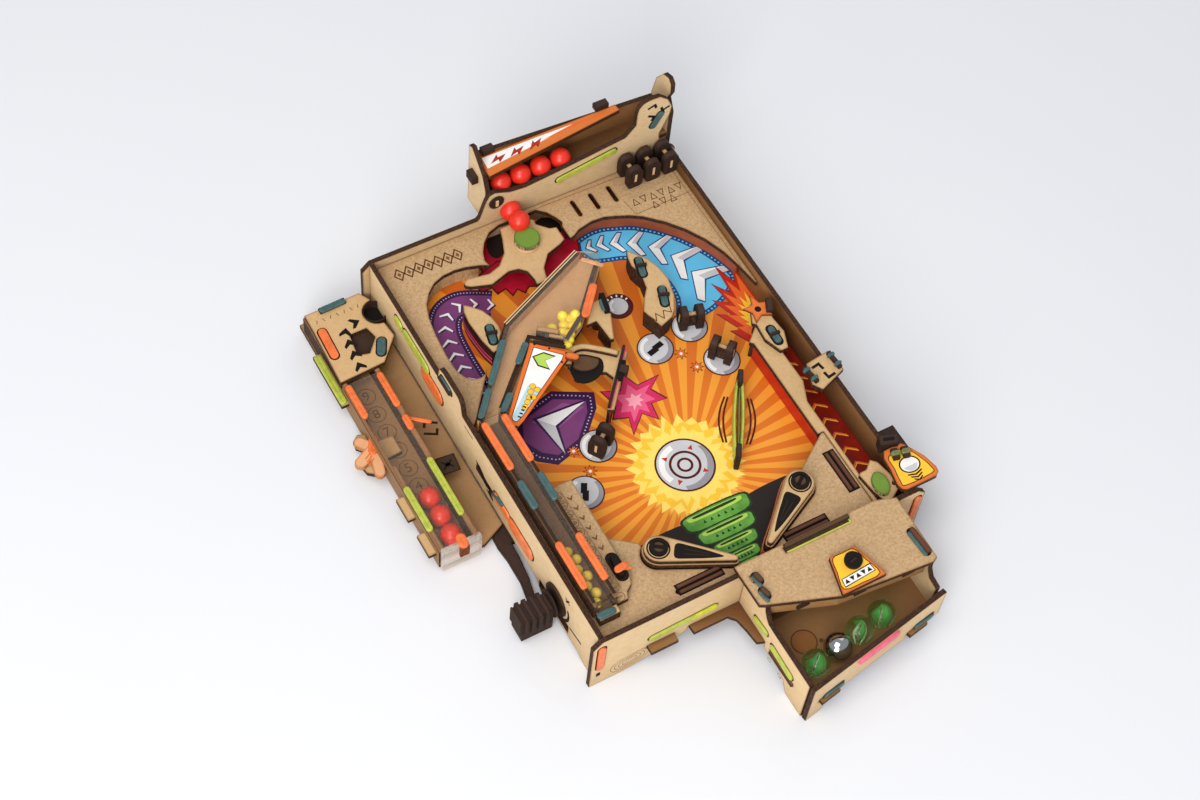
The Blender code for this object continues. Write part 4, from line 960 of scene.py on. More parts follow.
def band(name: str, centre: Point, length: float, width: float, level: float, finish: Finish, angle: float = 0.0,
        body: str = "case", side: Side = Side.FLAT, thick: float = 1.8, outward: int = 1,
        lift: Optional[Callable] = None, rim: bool = True) -> bpy.types.Object:
    """Makes a rubber band stretched flat over a surface, its two strands side by side.

    Args:
        name: Name of the piece.
        centre: Middle of the band, in the surface's own two directions.
        length: Length of the band.
        width: Width of its two strands together.
        level: Height of the surface.
        finish: Its finish.
        angle: Turn of the long way, in degrees.
        body: The body that it rides on.
        side: Which way the surface lies.
        thick: How far the band stands out of the surface.
        outward: Which way is out of the surface, 1 or -1.
        lift: Gives a place from the surface's own coordinates, in place of side.
        rim: Whether a charred slot shows round it.

    Returns:
        The piece.
    """
    lifted = lift or partial(PLAN.lifted, side)
    strand = width / 2 + STRAND_OVERLAP
    loop = turned(pill(length - strand, width - strand, 5), centre, angle)
    path = [lifted(u, v, level + outward * thick * 0.2) for u, v in loop]
    out = (lifted(centre[0], centre[1], level + outward) - lifted(centre[0], centre[1], level)).normalized()
    if rim:
        print_on(f"{name}_slot", [turned(pill(length + 1.5, width + 1.5), centre, angle)], level, CHAR, outward,
            body, "dark_board", side, lift)
    return tube_ring(name, path, strand, thick, finish, body, out)


def number(name: str, text: str, centre: Point, size: float, level: float, angle: float = 0.0,
        finish: Finish = BURN, body: str = "case") -> bpy.types.Object:
    """Burns a plain number into a board.

    Args:
        name: Name of the piece.
        text: The number.
        centre: Its middle.
        size: Its height.
        level: Height of the board.
        angle: Its turn, in degrees.
        finish: Its finish.
        body: The body that it rides on.

    Returns:
        The piece.
    """
    curve = bpy.data.curves.new(name, "FONT")
    curve.body = text
    curve.size = size * MM
    curve.align_x = "CENTER"
    curve.align_y = "CENTER"
    curve.extrude = 0.02 * MM
    curve.materials.append(finish.material())
    made = bpy.data.objects.new(name, curve)
    made.location = PLAN.at(*centre, level + LEVEL.ink)
    made.rotation_euler.z = math.radians(angle)
    return carry(made, body, "fibreboard")


def chevron(width: float, tall: float, bar: float) -> Outline:
    """An arrowhead about its own origin that points along X."""
    half = width / 2
    return [(tall / 2, 0), (-tall / 2, half), (-tall / 2 - bar * 0.7, half * 0.9), (tall / 2 - bar * 1.6, 0),
        (-tall / 2 - bar * 0.7, -half * 0.9), (-tall / 2, -half)]


def arrows(path: Sequence[Point], count: int, sizes: tuple[Point, Point], bar: float) -> list[Outline]:
    """Arrowheads along a path, their width and height changing from the first size to the last.

    Args:
        path: The path.
        count: How many arrowheads.
        sizes: Width and height of the first and the last.
        bar: Thickness of their bars.

    Returns:
        Their outlines.
    """
    shapes = []
    for i in range(count):
        share = i / (count - 1)
        place, angle = along(path, share)
        wide, tall = ((1 - share) * a + share * b for a, b in zip(*sizes))
        shapes.append(turned(chevron(wide, tall, bar), place, angle))
    return shapes


def stitches(path: Sequence[Point], pitch: float, size: float, closed: bool = False) -> list[Outline]:
    """Small square dots along a path.

    Args:
        path: The path.
        pitch: Space from dot to dot.
        size: Width of a dot.
        closed: Whether the path's end joins its start.

    Returns:
        Their outlines.
    """
    line = list(path) + ([path[0]] if closed else [])
    total = sum(math.dist(a, b) for a, b in zip(line, line[1:]))
    dots = []
    for i in range(int(total / pitch)):
        place, angle = along(line, (i + 0.5) * pitch / total)
        dots.append(block(size / 2, size / 2, place, angle))
    return dots


class SheetWork:
    """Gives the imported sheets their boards, and rounds their cut edges a little."""

    finishes = {
        BIRCH: ("island_plate", "guide_plate", "bridge_plate", "refill_top_plate", "refill_slide", "release_lever",
            "deflector", "target_rocker", "bonus_lever", "launcher_striker", "left_flipper", "right_flipper",
            "lane_divider"),
        BIRCH_X: ("left_wall", "tray_left_wall", "tray_right_wall", "tower_left_side", "tower_right_side"),
        BIRCH_Y: ("front_wall", "back_wall", "tray_front_wall"),
        PAINTED_SHADE_X: ("right_wall",),
        BOARD: ("top_board", "left_deck", "right_deck", "scale_plate", "cover_plate"),
        VAULT_BOARD_PAINTED_LIGHT: ("vault_floor",),
        SCORE_FLOOR_PAINTED_SHADE: ("score_channel",),
        BASE_PAINTED_SHADE: ("base_plate", "tower_trough"),
        FLOOR_PAINTED_SHADE: ("refill_channel",),
        PAINTED_SHADE_Y: ("tower_back_wall", "tray_lip"),
        VAULT_STRIP: ("vault_back_wall", "vault_front_wall", "vault_channel_wall", "left_lane_guide"),
        DARK: ("right_button",),
        SUNBURST: ("playfield_board",),
        ORANGE_BOARD: ("tower_roof", "reset_lever", "launcher_handle", "vault_label_plate"),
        CLEAR: ("vault_roof", "refill_end_plate"),
    }
    pegs = ("plugged_peg_1", "plugged_peg_2", "plugged_peg_3", "stored_peg_1", "stored_peg_2", "stored_peg_3")

    def build(self) -> None:
        """Assigns every finish."""
        for finish, names in self.finishes.items():
            for name in names:
                self.paint(name, finish)
        for name in self.pegs:
            self.paint(name, DARK)

    def paint(self, name: str, finish: Finish) -> None:
        """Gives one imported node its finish.

        Args:
            name: Name of the node.
            finish: Its finish.
        """
        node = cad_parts[name]
        for slot in node.material_slots:
            slot.material = finish.material()
        soften(node, 0.15)


@dataclass(frozen=True)
class PurpleLane:
    """The lane round the island: purple with a stitched dark border and pale arrowheads."""

    path: tuple = ((21.5, 178), (22, 187), (22, 197), (22.3, 206), (22.8, 214), (24, 222), (27.5, 230.5),
        (33, 236), (41, 237.5), (50, 234), (58, 229.5))
    border: float = 20.4
    middle: float = 12.6
    seam: float = 8.2

    def build(self) -> None:
        """Prints the lane."""
        level = LEVEL.field
        line = smooth(self.path, 5, False)
        print_on("lane_purple_border", [ribbon(line, self.border)], level, NAVY, 1)
        print_on("lane_purple_end", [circle(self.path[0], self.border / 2, 28)], level, NAVY, 1)
        print_on("lane_purple_middle", [ribbon(line, self.middle)], level, PURPLE, 2)
        for count, side in enumerate((1, -1), 1):
            edge = offset(line, side * self.seam)
            print_on(f"lane_purple_stitches_{count}", stitches(edge, 1.9, 0.7), level, LILAC, 2)
        heads = arrows(self.path, 10, ((10.4, 4.2), (8.0, 3.6)), 1.3)
        print_on("lane_purple_shadows", [turned(h, (0.7, -1.0)) for h in heads], level, NAVY, 3)
        print_on("lane_purple_arrows", heads, level, WHITE, 4)


@dataclass(frozen=True)
class ArchGuide:
    """The guide bent round the arch: a thin strip, red-brown inside, with a painted highlight along its top edge."""

    path: tuple = ((124.4, 249.4), (134.8, 251.7), (144.1, 251.2), (151.6, 248.6), (160.1, 245.1), (167.5, 240.4),
        (177.9, 230.5), (186.2, 220.2), (193.4, 207.3), (198.6, 193.8), (200.5, 183.5))
    thick: float = 1.5
    low: float = 28.3
    high: float = 39.7

    def inside(self, distance: float) -> Outline:
        """Gives the guide's line, moved this far towards the field."""
        return offset(smooth(self.path, 4, False), -distance)

    def build(self) -> None:
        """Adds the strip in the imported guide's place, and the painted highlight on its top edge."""
        strip = slab("arch_strip", self.inside(0.0) + self.inside(self.thick)[::-1], self.low, self.high,
            TERRACOTTA, slot="print")
        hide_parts("arch_guide")
        # Painted highlight: a pale pink-white line where light catches the strip's top edge.
        line_on("arch_painted_highlight", [self.inside(self.thick - 0.1)], 1.1, self.high, BLUSH_WHITE, closed=False)


@dataclass(frozen=True)
class BlueLane:
    """The lane under the arch: light blue with a dotted navy border and big pale arrowheads."""

    arch: ArchGuide = ArchGuide()
    lower: tuple = ((198, 180), (188, 172), (173, 166), (158, 166), (152, 172), (158, 184), (158.5, 200),
        (154, 214), (146, 222), (134, 226), (126, 230), (122, 240))
    apexes: tuple = (((177.0, 196.5), 30.0, 118), ((172.0, 212.5), 26.0, 128), ((163.0, 224.5), 22.0, 142),
        ((152.5, 232.5), 18.0, 154), ((143.0, 237.0), 14.5, 164), ((135.0, 239.5), 11.5, 172), ((128.5, 240.5),
        9.0, 178))

    def build(self) -> None:
        """Prints the lane."""
        level = LEVEL.field
        edge = self.arch.inside(self.arch.thick - 0.2) + smooth(self.lower, 4, False)
        inward = -1.0 if sum(a[0] * b[1] - b[0] * a[1] for a, b in zip(edge, edge[1:] + edge[:1])) < 0 else 1.0
        print_on("lane_blue_border", [edge], level, INK_BLUE, 1)
        print_on("lane_blue_middle", [offset(edge, 3.2 * inward, True)], level, SKY, 2)
        print_on("lane_blue_dots", stitches(offset(edge, 1.6 * inward, True), 2.6, 1.15, True), level, SKY, 2)
        heads, outlines, shades = [], [], []
        for apex, wide, angle in self.apexes:
            half, depth, bar = wide / 2, wide * 0.44, wide * 0.15
            head = [(0, 0), (-depth, half), (-depth - bar, half * 0.93), (-bar * 2.0, 0), (-depth - bar,
                -half * 0.93), (-depth, -half)]
            heads.append(turned(head, apex, angle))
            rim = [(0.9, 0), (-depth + 0.1, half + 1.0), (-depth - bar - 0.9, half * 0.93 + 0.7),
                (-bar * 2.0 - 1.2, 0), (-depth - bar - 0.9, -half * 0.93 - 0.7), (-depth + 0.1, -half - 1.0)]
            outlines.append(turned(rim, apex, angle))
            shades.append(turned([(-bar, 0), head[3], head[4], head[5]], apex, angle))
        print_on("lane_blue_outlines", outlines, level, INK_BLUE, 3)
        print_on("lane_blue_arrows", heads, level, WHITE, 4)
        print_on("lane_blue_shades", shades, level, GREY, 5)


@dataclass(frozen=True)
class FieldArt:
    """The rest of the playing field's print: targets, bars and panels of strong colour."""

    slot_discs: tuple = ((129, 158), (155, 162.5), (160, 133.5), (66, 115), (44.5, 91.5))
    disc: float = 10.3
    middle: Point = (104.0, 81.5)
    middle_radius: float = 16.5
    panel: tuple = ((23, 137), (30, 153), (60, 160), (82, 148), (78, 138), (60, 120), (40, 114.5), (30, 122))
    crimson_left: tuple = ((56, 246), (62, 252), (76, 256), (92, 246), (91, 236), (89, 229), (84, 231), (80, 228),
        (77, 232.5), (72.5, 229.5), (71, 236), (65, 234.5), (64, 240), (57, 240))
    crimson_right: tuple = ((95, 228), (96, 236), (101, 244), (110, 251), (121, 253), (128, 251), (124, 241),
        (124, 235), (117, 236), (116, 230), (110, 232), (107, 226), (102, 231))
    under_lever: tuple = ((62, 244), (66, 260), (74, 272), (88, 273), (108, 273), (122, 266), (122, 246),
        (100, 240), (82, 238))
    dark_holes: tuple = (((81, 267), 5.6, 10.0, -28), ((115.5, 264.5), 7.0, 8.6, 20))
    star: tuple = ((120.5, 141), (112, 134.8), (117, 125.5), (107.5, 126.5), (106, 115.5), (99.5, 123),
        (88.5, 113), (91.5, 124), (83, 127), (89, 134), (86, 146), (96, 141.5), (103, 150), (106.5, 140.5))
    star_middle: Point = (100.0, 132.0)
    drain: tuple = ((34, 38), (50, 46.5), (66, 49), (84, 48.5), (104, 46), (124, 48.5), (142, 49.5), (160, 47.5),
        (176, 36), (172, 4), (34, 4))
    bars: tuple = ((46.5, 20.5, 11.0), (35.5, 17.0, 9.6), (25.6, 13.0, 8.0), (17.2, 9.5, 6.6), (10.6, 6.5, 5.0))
    flames: tuple = ((182, 136), (175.5, 149), (181.5, 147), (174.5, 163), (182, 158.5), (177.5, 172.5),
        (185.5, 166.5), (183, 183), (190, 172.5), (191.5, 193), (196.5, 178), (202.5, 198), (203, 150),
        (199, 135))
    sparks: tuple = ((51.9, 118.4), (140.8, 148.2), (144.4, 135.9), (53.9, 102.5))

    def build(self) -> None:
        """Prints everything but the lanes."""
        self.print_discs()
        self.print_middle()
        self.print_panel()
        self.print_patches()
        self.print_drain()

    def print_discs(self) -> None:
        """Prints a grey target round each peg's slot, and a small spark beside some."""
        level = LEVEL.field
        print_on("disc_rims", [circle(c, self.disc + 0.8) for c in self.slot_discs], level, MAROON, 13)
        print_on("discs", [circle(c, self.disc) for c in self.slot_discs], level, GREY, 14)
        for i, centre in enumerate(self.slot_discs, 1):
            rise = arc(centre, self.disc - 1.0, 95, 215, 14) + arc(centre, self.disc - 3.2, 215, 95, 14)
            fall = arc(centre, self.disc, 250, 380, 14) + arc((centre[0] - 1.2, centre[1] + 1.6), self.disc - 0.9,
                375, 255, 14)
            print_on(f"disc_shine_{i}", [rise], level, WHITE, 15)
            print_on(f"disc_shade_{i}", [fall], level, STONE, 15)
        step = [(-5.8, -2.3), (1.0, -2.3), (1.0, -1.3), (5.8, -1.3), (5.8, 2.3), (-1.0, 2.3), (-1.0, 1.3),
            (-5.8, 1.3)]
        print_on("free_slots", [turned(step, (129, 158), 14), turned(step, (44.5, 92), 60)], level, BLACK, 16)
        for i, centre in enumerate(self.sparks, 1):
            rays = [arc(centre, 3.6 if k % 2 else 1.7, 22.5 * k, 22.5 * k, 1)[0] for k in range(16)]
            print_on(f"spark_{i}_rim", [scaled(rays, centre, 1.25)], level, MAROON, 7)
            print_on(f"spark_{i}", [rays], level, ORANGE, 8)
            print_on(f"spark_{i}_dot", [circle(centre, 0.9, 12)], level, WHITE, 9)

    def print_middle(self) -> None:
        """Prints the target in the middle: a disc with rings and a glow of two pale yellows."""
        level, c, r = LEVEL.field, self.middle, self.middle_radius
        for i, (finish, far, near, count) in enumerate(((SUN_PALE, 34, 28, 24), (YOLK, 30.5, 25.5, 20),
                (SUN_PALE, 26, 22, 26)), 1):
            glow = []
            for k in range(count * 2):
                reach = far if k % 2 else near
                reach += 1.6 * math.sin(k * 2.4)
                glow.append(arc(c, reach, 180 * k / count, 180 * k / count, 1)[0])
            print_on(f"middle_glow_{i}", [glow], level, finish, i)
        print_on("middle_rim", [circle(c, r + 1.1)], level, MAROON, 9)
        print_on("middle_disc", [circle(c, r)], level, GREY, 10)
        print_on("middle_shine", [arc(c, r - 1.4, 95, 205, 18) + arc(c, r - 4.8, 205, 95, 18)], level, WHITE, 11)
        print_on("middle_shade", [arc(c, r, 245, 385, 18) + arc((c[0] - 1.8, c[1] + 2.4), r - 1.0, 380, 250, 18)],
            level, STONE, 11)
        line_on("middle_rings", [circle(c, 8.6), circle(c, 4.0)], 1.5, level, MAROON, layer=12)
        marks = [turned([(10.8, -1.5), (14.2, 0), (10.8, 1.5)], c, 45 + 90 * i) for i in range(4)]
        print_on("middle_marks", marks, level, FLAME_RED, 12)

    def print_panel(self) -> None:
        """Prints the purple panel under the vault, with one big arrowhead."""
        level, edge = LEVEL.field, list(self.panel)

        def shrunk(share: float) -> Outline:
            return scaled(edge, (53, 138), share)

        print_on("panel_border", [edge], level, NAVY, 1)
        print_on("panel_middle", [shrunk(0.76)], level, PURPLE, 2)
        print_on("panel_ray", [[(40, 146), (62, 150), (72, 142), (52, 136)]], level, PURPLE_PALE, 3)
        print_on("panel_stitches", stitches(shrunk(0.88), 2.3, 0.8, True), level, LILAC, 2)
        head = [(43.5, 146.5), (74, 145), (51, 138), (47, 119)]
        print_on("panel_arrow_rim", [[(41.5, 148.2), (77, 146), (52.5, 136.8), (47, 115.5)]], level, NAVY, 4)
        print_on("panel_arrow", [head], level, WHITE, 5)
        print_on("panel_arrow_shade", [[head[0], head[2], head[3]]], level, GREY, 6)

    def print_patches(self) -> None:
        """Prints the crimson patches, the magenta star and the red tongues by the launch lane."""
        level = LEVEL.field
        for name, shape, layer in (("under", self.under_lever, 6), ("left", self.crimson_left, 8),
                ("right", self.crimson_right, 10)):
            edge = list(shape)
            print_on(f"crimson_{name}", [edge], level, CRIMSON, layer)
            line_on(f"crimson_{name}_line", [edge], 0.9, level, MAROON, layer=layer + 1)
        # Painted shade: black ovals stand for the dark seen down the ball-drop openings.
        for i, (centre, wide, tall, angle) in enumerate(self.dark_holes, 1):
            print_on(f"ball_drop_{i}", [turned(oval(wide, tall), centre, angle)], level, CHAR, 12)
        for i, (finish, share) in enumerate(((MAROON, 1.07), (MAGENTA, 1.0), (ROSE, 0.66), (BLUSH, 0.3)), 1):
            shape = scaled(self.star, self.star_middle, share)
            print_on(f"star_{i}", [shape], level, finish, i + 4)
        for i, (finish, share) in enumerate(((MAROON, 1.03), (FLAME_RED, 1.0), (FLAME, 0.74), (YOLK, 0.42)), 1):
            shape = scaled(self.flames, (194, 150), share)
            print_on(f"tongues_{i}", [shape], level, finish, i + 5)
        print_on("field_right_line", [[(181.5, 62), (183, 62), (183, 150), (181.5, 150)]], level, FLAME_RED, 2)
        posts = ((131, 70), (161, 117))
        way = Vector((30, 47)).normalized()
        for i, far in enumerate((8.0, 10.6, -8.0, -10.6), 1):
            bow = []
            for k in range(9):
                share = 0.22 + 0.56 * k / 8
                spot = Vector(posts[0]).lerp(Vector(posts[1]), share)
                swell = far * (0.72 + 0.28 * math.sin(math.pi * k / 8))
                bow.append((spot.x - way.y * swell, spot.y + way.x * swell))
            line_on(f"bumper_arc_{i}", [bow], 1.1, level, MAROON, closed=False, layer=9)

    def print_drain(self) -> None:
        """Prints the dark mouth of the drain and the green bars stacked in it."""
        level = LEVEL.field
        print_on("drain_dark", [smooth(self.drain, 3)], level, NIGHT, 4)
        for i, (y, half, tall) in enumerate(self.bars, 1):
            shape = [(104 - half, y), (104 - half * 0.8, y + tall * 0.42), (104 + half * 0.8, y + tall * 0.42),
                (104 + half, y), (104 + half * 0.74, y - tall * 0.48), (104 - half * 0.74, y - tall * 0.48)]
            edge = smooth(shape, 4)
            rim = scaled(edge, (104, y), 1.07, 1.2)
            base = 3 + 2 * i
            print_on(f"drain_bar_{i}_rim", [rim], level, GREEN_DARK, base)
            print_on(f"drain_bar_{i}", [edge], level, GREEN, base + 1)
            shine = turned([((px - 104) * 0.86, (py - y) * 0.34) for px, py in edge], (104, y + tall * 0.22))
            print_on(f"drain_bar_{i}_shine", [shine], level, LIME_INK, base + 2)
            well = turned([((px - 104) * 0.7, (py - y) * 0.16) for px, py in edge], (104, y + tall * 0.26))
            print_on(f"drain_bar_{i}_well", [well], level, GREEN_DARK, base + 3)
            teeth = [turned([(-1.0, -1.1), (1.0, -1.1), (0, 1.1)], (104 + half * 0.22 * k,
                y - tall * 0.16)) for k in (-2, -1, 0, 1, 2)]
            print_on(f"drain_bar_{i}_teeth", teeth, level, GREEN_DARK, base + 3)


@dataclass(frozen=True)
class LaunchLane:
    """The launch lane's print: dark red with orange arrowheads."""

    left: float = 182.6
    right: float = 201.1
    front: float = 22.0
    back: float = 130.0
    pitch: float = 11.0

    def build(self) -> None:
        """Prints the lane, and paints the divider's left face red as painted shade with red light bounced onto it.
        """
        level = LEVEL.field
        print_on("launch_lane_red", [[(self.left, self.front), (self.right, self.front), (self.right, self.back),
            (188, 137), (183, 112)]], level, LANE_RED, 1)
        middle = (self.left + self.right) / 2 + 0.6
        count = int((self.back - self.front) / self.pitch)
        heads = [turned(chevron(11.5, 4.6, 1.5), (middle, self.front + 4 + self.pitch * i),
            90) for i in range(count)]
        print_on("launch_lane_arrows", heads, level, FLAME, 2)
        print_on("launch_lane_glints", [turned(h, (0.2, -1.3)) for h in heads], level, YOLK, 3)
        print_on("launch_lane_glint_backs", [turned(h, (0.2, -2.1)) for h in heads], level, LANE_RED, 4)
        # Painted shade and reflected light: the divider's shaded left face, reddened by light bounced from the lane.
        print_on("divider_painted_red_shade", [[(57.4, 28.4), (127, 28.4), (127, 39.6), (57.4, 39.6)]], 176.3, FLAME_RED, -2,
            side=Side.ACROSS_X)


# Levers, channels and walls

@dataclass(frozen=True)
class Flipper:
    """What a flipper has besides its plates: dark hollow, pin and rubber."""

    name: str
    pivot: Point
    sign: int
    droop: float = 35.0
    high: float = 49.6

    def to_plan(self, points: Iterable[Point]) -> Outline:
        """Turns the flipper's own places, long way in X, into the plan's."""
        spread = turned(points, (0, 0), -self.droop)
        return [(self.pivot[0] + self.sign * x, self.pivot[1] + y) for x, y in spread]

    def build(self) -> None:
        """Adds the flipper's pieces."""
        top = self.high + 0.02
        hollow = smooth(((9.8, 4.6), (17, 4.0), (26, 2.6), (34.5, 0.7), (35.6, 0), (34.5, -0.7), (26, -2.6),
            (17, -4.0), (9.8, -4.6), (8.6, 0)), 4)
        print_on(f"{self.name}_hollow", [self.to_plan(hollow)], top, BLACK, 1, self.name, "dark_board")
        for i, shift in enumerate((1.5, -1.5), 1):
            slit = [(14, shift - 0.18), (31 - abs(shift) * 2, shift * 0.35 - 0.15), (31 - abs(shift) * 2,
                shift * 0.35 + 0.15), (14, shift + 0.18)]
            print_on(f"{self.name}_layer_{i}", [self.to_plan(slit)], top, SOOT, 2, self.name, "dark_board")
        line_on(f"{self.name}_seat", [self.to_plan(circle((0, 0), 6.2))], 0.9, top, CHAR, layer=1, body=self.name,
            slot="dark_board")
        slab(f"{self.name}_pin", self.to_plan(circle((0, 0), 5.3, 32)), top + 0.1, 52.4, BLACK, self.name,
            "dark_board", holes=[self.to_plan(circle((0, 0), 3.5, 28))], bevel=0.4)
        slab(f"{self.name}_pin_core", self.to_plan(circle((0, 0), 3.4, 28)), top + 0.1, 51.3, SOOT_WOOD,
            self.name, "dark_board")
        slab(f"{self.name}_pin_bar", self.to_plan(rectangle(-2.9, 2.9, -1.0, 1.0)), 51.3, 51.9, BLACK, self.name,
            "dark_board", bevel=0.2)
        loop = self.to_plan(smooth(((-9.6, 0), (-6.8, 6.8), (0, 9.6), (21, 6.2), (42, 3.4), (44.9, 0), (42, -3.4),
            (21, -6.2), (0, -9.6), (-6.8, -6.8)), 5))
        path = [PLAN.at(x, y, 37.5) for x, y in loop]
        tube_ring(f"{self.name}_rubber", path, 1.2, 6.5, RUST_BAND, self.name)


@dataclass(frozen=True)
class ScoreChannel:
    """Cover, bands, balls and numbers of the score channel."""

    left: float = 5.2
    right: float = 20.0
    back: float = 146.0
    top: float = 54.8
    numbers: int = 12
    first_number: float = 18.0
    number_pitch: float = 6.35
    balls: tuple = ((9.6, 19.5), (12.6, 25), (10.0, 30.5), (13.4, 36), (10.4, 41.5), (13.0, 47.5), (10.8, 53.5))

    def build(self) -> None:
        """Adds the channel's pieces."""
        slab("score_cover", rectangle(self.left + 0.3, self.right - 0.3, 18, self.back - 1), self.top + 0.15,
            self.top + 1.15, CLEAR, slot="clear")
        for side, x in (("left", self.left + 1.2), ("right", self.right - 1.2)):
            slab(f"score_rail_{side}", rectangle(x - 0.9, x + 0.9, 17, self.back - 1), self.top + 1.2,
                self.top + 1.7, SOOT_WOOD)
            for part, y, length, finish in (("front", 42, 32, ORANGE_BAND), ("middle", 91, 20, TEAL_BAND),
                    ("back", 126, 34, ORANGE_BAND)):
                band(f"score_band_{side}_{part}", (x, y), length, 4.2, self.top + 1.0, finish, 90, thick=2.6,
                    rim=False)
        for i, (x, y) in enumerate(self.balls, 1):
            ball(f"score_ball_{i}", (x, y, 48.6), 3.0, YELLOW_BALL)
        slab("score_end", rectangle(6.0, 18.5, 8.6, 13.6), LEVEL.on_deck, 50.0, BIRCH, bevel=0.3)
        slab("score_end_cap", rectangle(5.4, 19.2, 13.9, 16.8), LEVEL.on_deck, 56.4, CLEAR, slot="clear")
        band("score_end_band", (11, 11), 11.5, 4.6, 50.0, TEAL_BAND, rim=False)
        for i in range(self.numbers):
            y = self.first_number + self.number_pitch * i
            number(f"score_number_{i + 1}", str(i + 1), (23.4, y), 4.4, LEVEL.lever, -90)
            line_on(f"score_number_ring_{i + 1}", [circle((23.4, y), 2.75, 20)], 0.35, LEVEL.lever, BURN)
        heads = [turned(chevron(3.4, 2.6, 1.2), (29.4, 48 + 7.0 * i), -90) for i in range(6)]
        print_on("scale_arrows", heads, LEVEL.lever, BURN, 1)
        line_on("scale_line", [[(26.7, 22), (26.7, 90)]], 0.3, LEVEL.lever, BURN, closed=False)
        print_on("scale_slot_rim", [turned(pill(19, 7.6), (31, 34.5), 90)], LEVEL.lever, CHAR, 1)
        slab("scale_knob", turned(pill(14, 3.4), (30.6, 34.0), 84), 44, 50.5, BLACK, bevel=0.4)
        band("scale_band", (31.5, 31.5), 8.6, 4.6, 49.6, ORANGE_BAND, 8, rim=False)
        print_on("scale_band_tip", [[(33, 29), (37.5, 28), (35, 31), (38, 33), (33.6, 33.2)]], 49.9, ORANGE, 1)


@dataclass(frozen=True)
class Vault:
    """Balls, gate, label and bands of the vault."""

    balls: tuple = ((86.4, 188.8), (82.0, 186.2), (86.6, 183.2), (78.9, 182.0), (82.0, 179.2), (88.8, 184.2),
        (74.6, 187.2), (76.6, 172.6), (79.6, 175.9), (90.4, 188.2), (83.4, 190.8))
    label: tuple = ((56.8, 181.2), (73.8, 164.8), (72.5, 163.2), (28, 136.2), (24.0, 134.4), (20.5, 138.0),
        (20.8, 141.4))

    def build(self) -> None:
        """Adds the vault's pieces."""
        for i, (x, y) in enumerate(self.balls, 1):
            ball(f"vault_ball_{i}", (x, y, 46.8 if i < 10 else 49.4), 3.2, YELLOW_BALL)
        slab("vault_gate", block(6.5, 1.6, (70.5, 185.0), -38), LEVEL.on_deck, 51.0, BIRCH)
        slab("vault_gate_step", block(5.0, 1.3, (72.5, 179.5), -38), LEVEL.on_deck, 50.6, BIRCH)
        slab("vault_gate_post", block(1.6, 3.4, (67.2, 181.2), -38), LEVEL.on_deck, 50.8, DARK)
        slab("vault_gate_bar", block(9.5, 0.8, (66, 175.0), -38), 51.45, 53.0, DARK)
        low = 51.35
        slab("vault_label", self.label, low, low + 1.0, ORANGE, slot="print", bevel=0.25)
        inset = [(57.0, 177.4), (69.8, 165.0), (67.5, 162.6), (30, 139.6), (25.0, 137.4), (23.2, 139.2),
            (24.0, 141.8)]
        print_on("vault_label_panel", [inset], low + 1.0, WHITE, 1)
        print_on("vault_label_wash", [[(24.2, 141.6), (42, 156.0), (48, 151.0), (30, 139.9), (25.2, 137.8)]],
            low + 1.0, SKY_PALE, 2)
        line_on("vault_label_line", [inset], 0.4, low + 1.0, CHAR, layer=3)
        tip = [turned([(-5.2, -4.2), (1.0, -4.2), (5.2, 0), (1.0, 4.2), (-5.2, 4.2), (-1.2, 0)], (57.5, 167.5),
            132)]
        print_on("vault_label_mark_rim", [scaled(tip[0], (57.5, 167.5), 1.22)], low + 1.0, CHAR, 3)
        print_on("vault_label_mark", tip, low + 1.0, LIME_INK, 4)
        dots = [(41, 151.5), (38.5, 148.5), (43.8, 154.2), (36.2, 146.2), (40.6, 147.6), (45.0, 151.0),
            (33.4, 144.0)]
        print_on("vault_label_dots", [circle(c, 1.75, 16) for c in dots], low + 1.0, YOLK, 4)
        line_on("vault_label_dot_lines", [circle(c, 1.75, 16) for c in dots], 0.3, low + 1.0, OCHRE, layer=5)
        ticks = [block(1.0, 0.5, (27.5 + 1.9 * i, 139.6 + 1.5 * i), 130) for i in range(4)]
        print_on("vault_label_ticks", ticks, low + 1.0, CHAR, 4)
        pins = [circle((x, y), 0.7, 10) for x, y in ((58.4, 178.9), (64.5, 172.6), (71.8, 165.4), (66.6, 161.0))]
        print_on("vault_label_pins", pins, low + 1.0, CHAR, 4)
        top = LEVEL.on_vault
        for i, (x, y, angle, length) in enumerate(((33.4, 177.5, 48.8, 32), (14.4, 156.0, 48.8, 21), (49.0, 176.6,
                44, 16), (25.6, 151.0, 43, 14)), 1):
            band(f"vault_side_band_{i}", (x, y), length, 4.0, top, TEAL_BAND, angle, thick=1.6, rim=False)
        band("vault_front_band", (101.5, 191.5), 25, 5.0, top, ORANGE_BAND, 48.5, thick=1.6, rim=False)
        band("vault_tip_band", (116.5, 214.6), 14, 2.4, top, PEACH_BAND, -48, thick=1.0, rim=False)
        long_edge = [(6.0, 149.0), (50.3, 199.3), (112.0, 226.5)]
        line_on("vault_back_edge", [long_edge[1:]], 2.2, top, PALE_EDGE, closed=False, layer=1)
        line_on("vault_back_line", [long_edge], 0.7, top, CHAR, closed=False, layer=2)
        peg = turned(pill(8.0, 4.4), (72.8, 160.6), -40)
        slab("vault_orange_peg", peg, top, 55.2, ORANGE_WOOD, bevel=0.3)


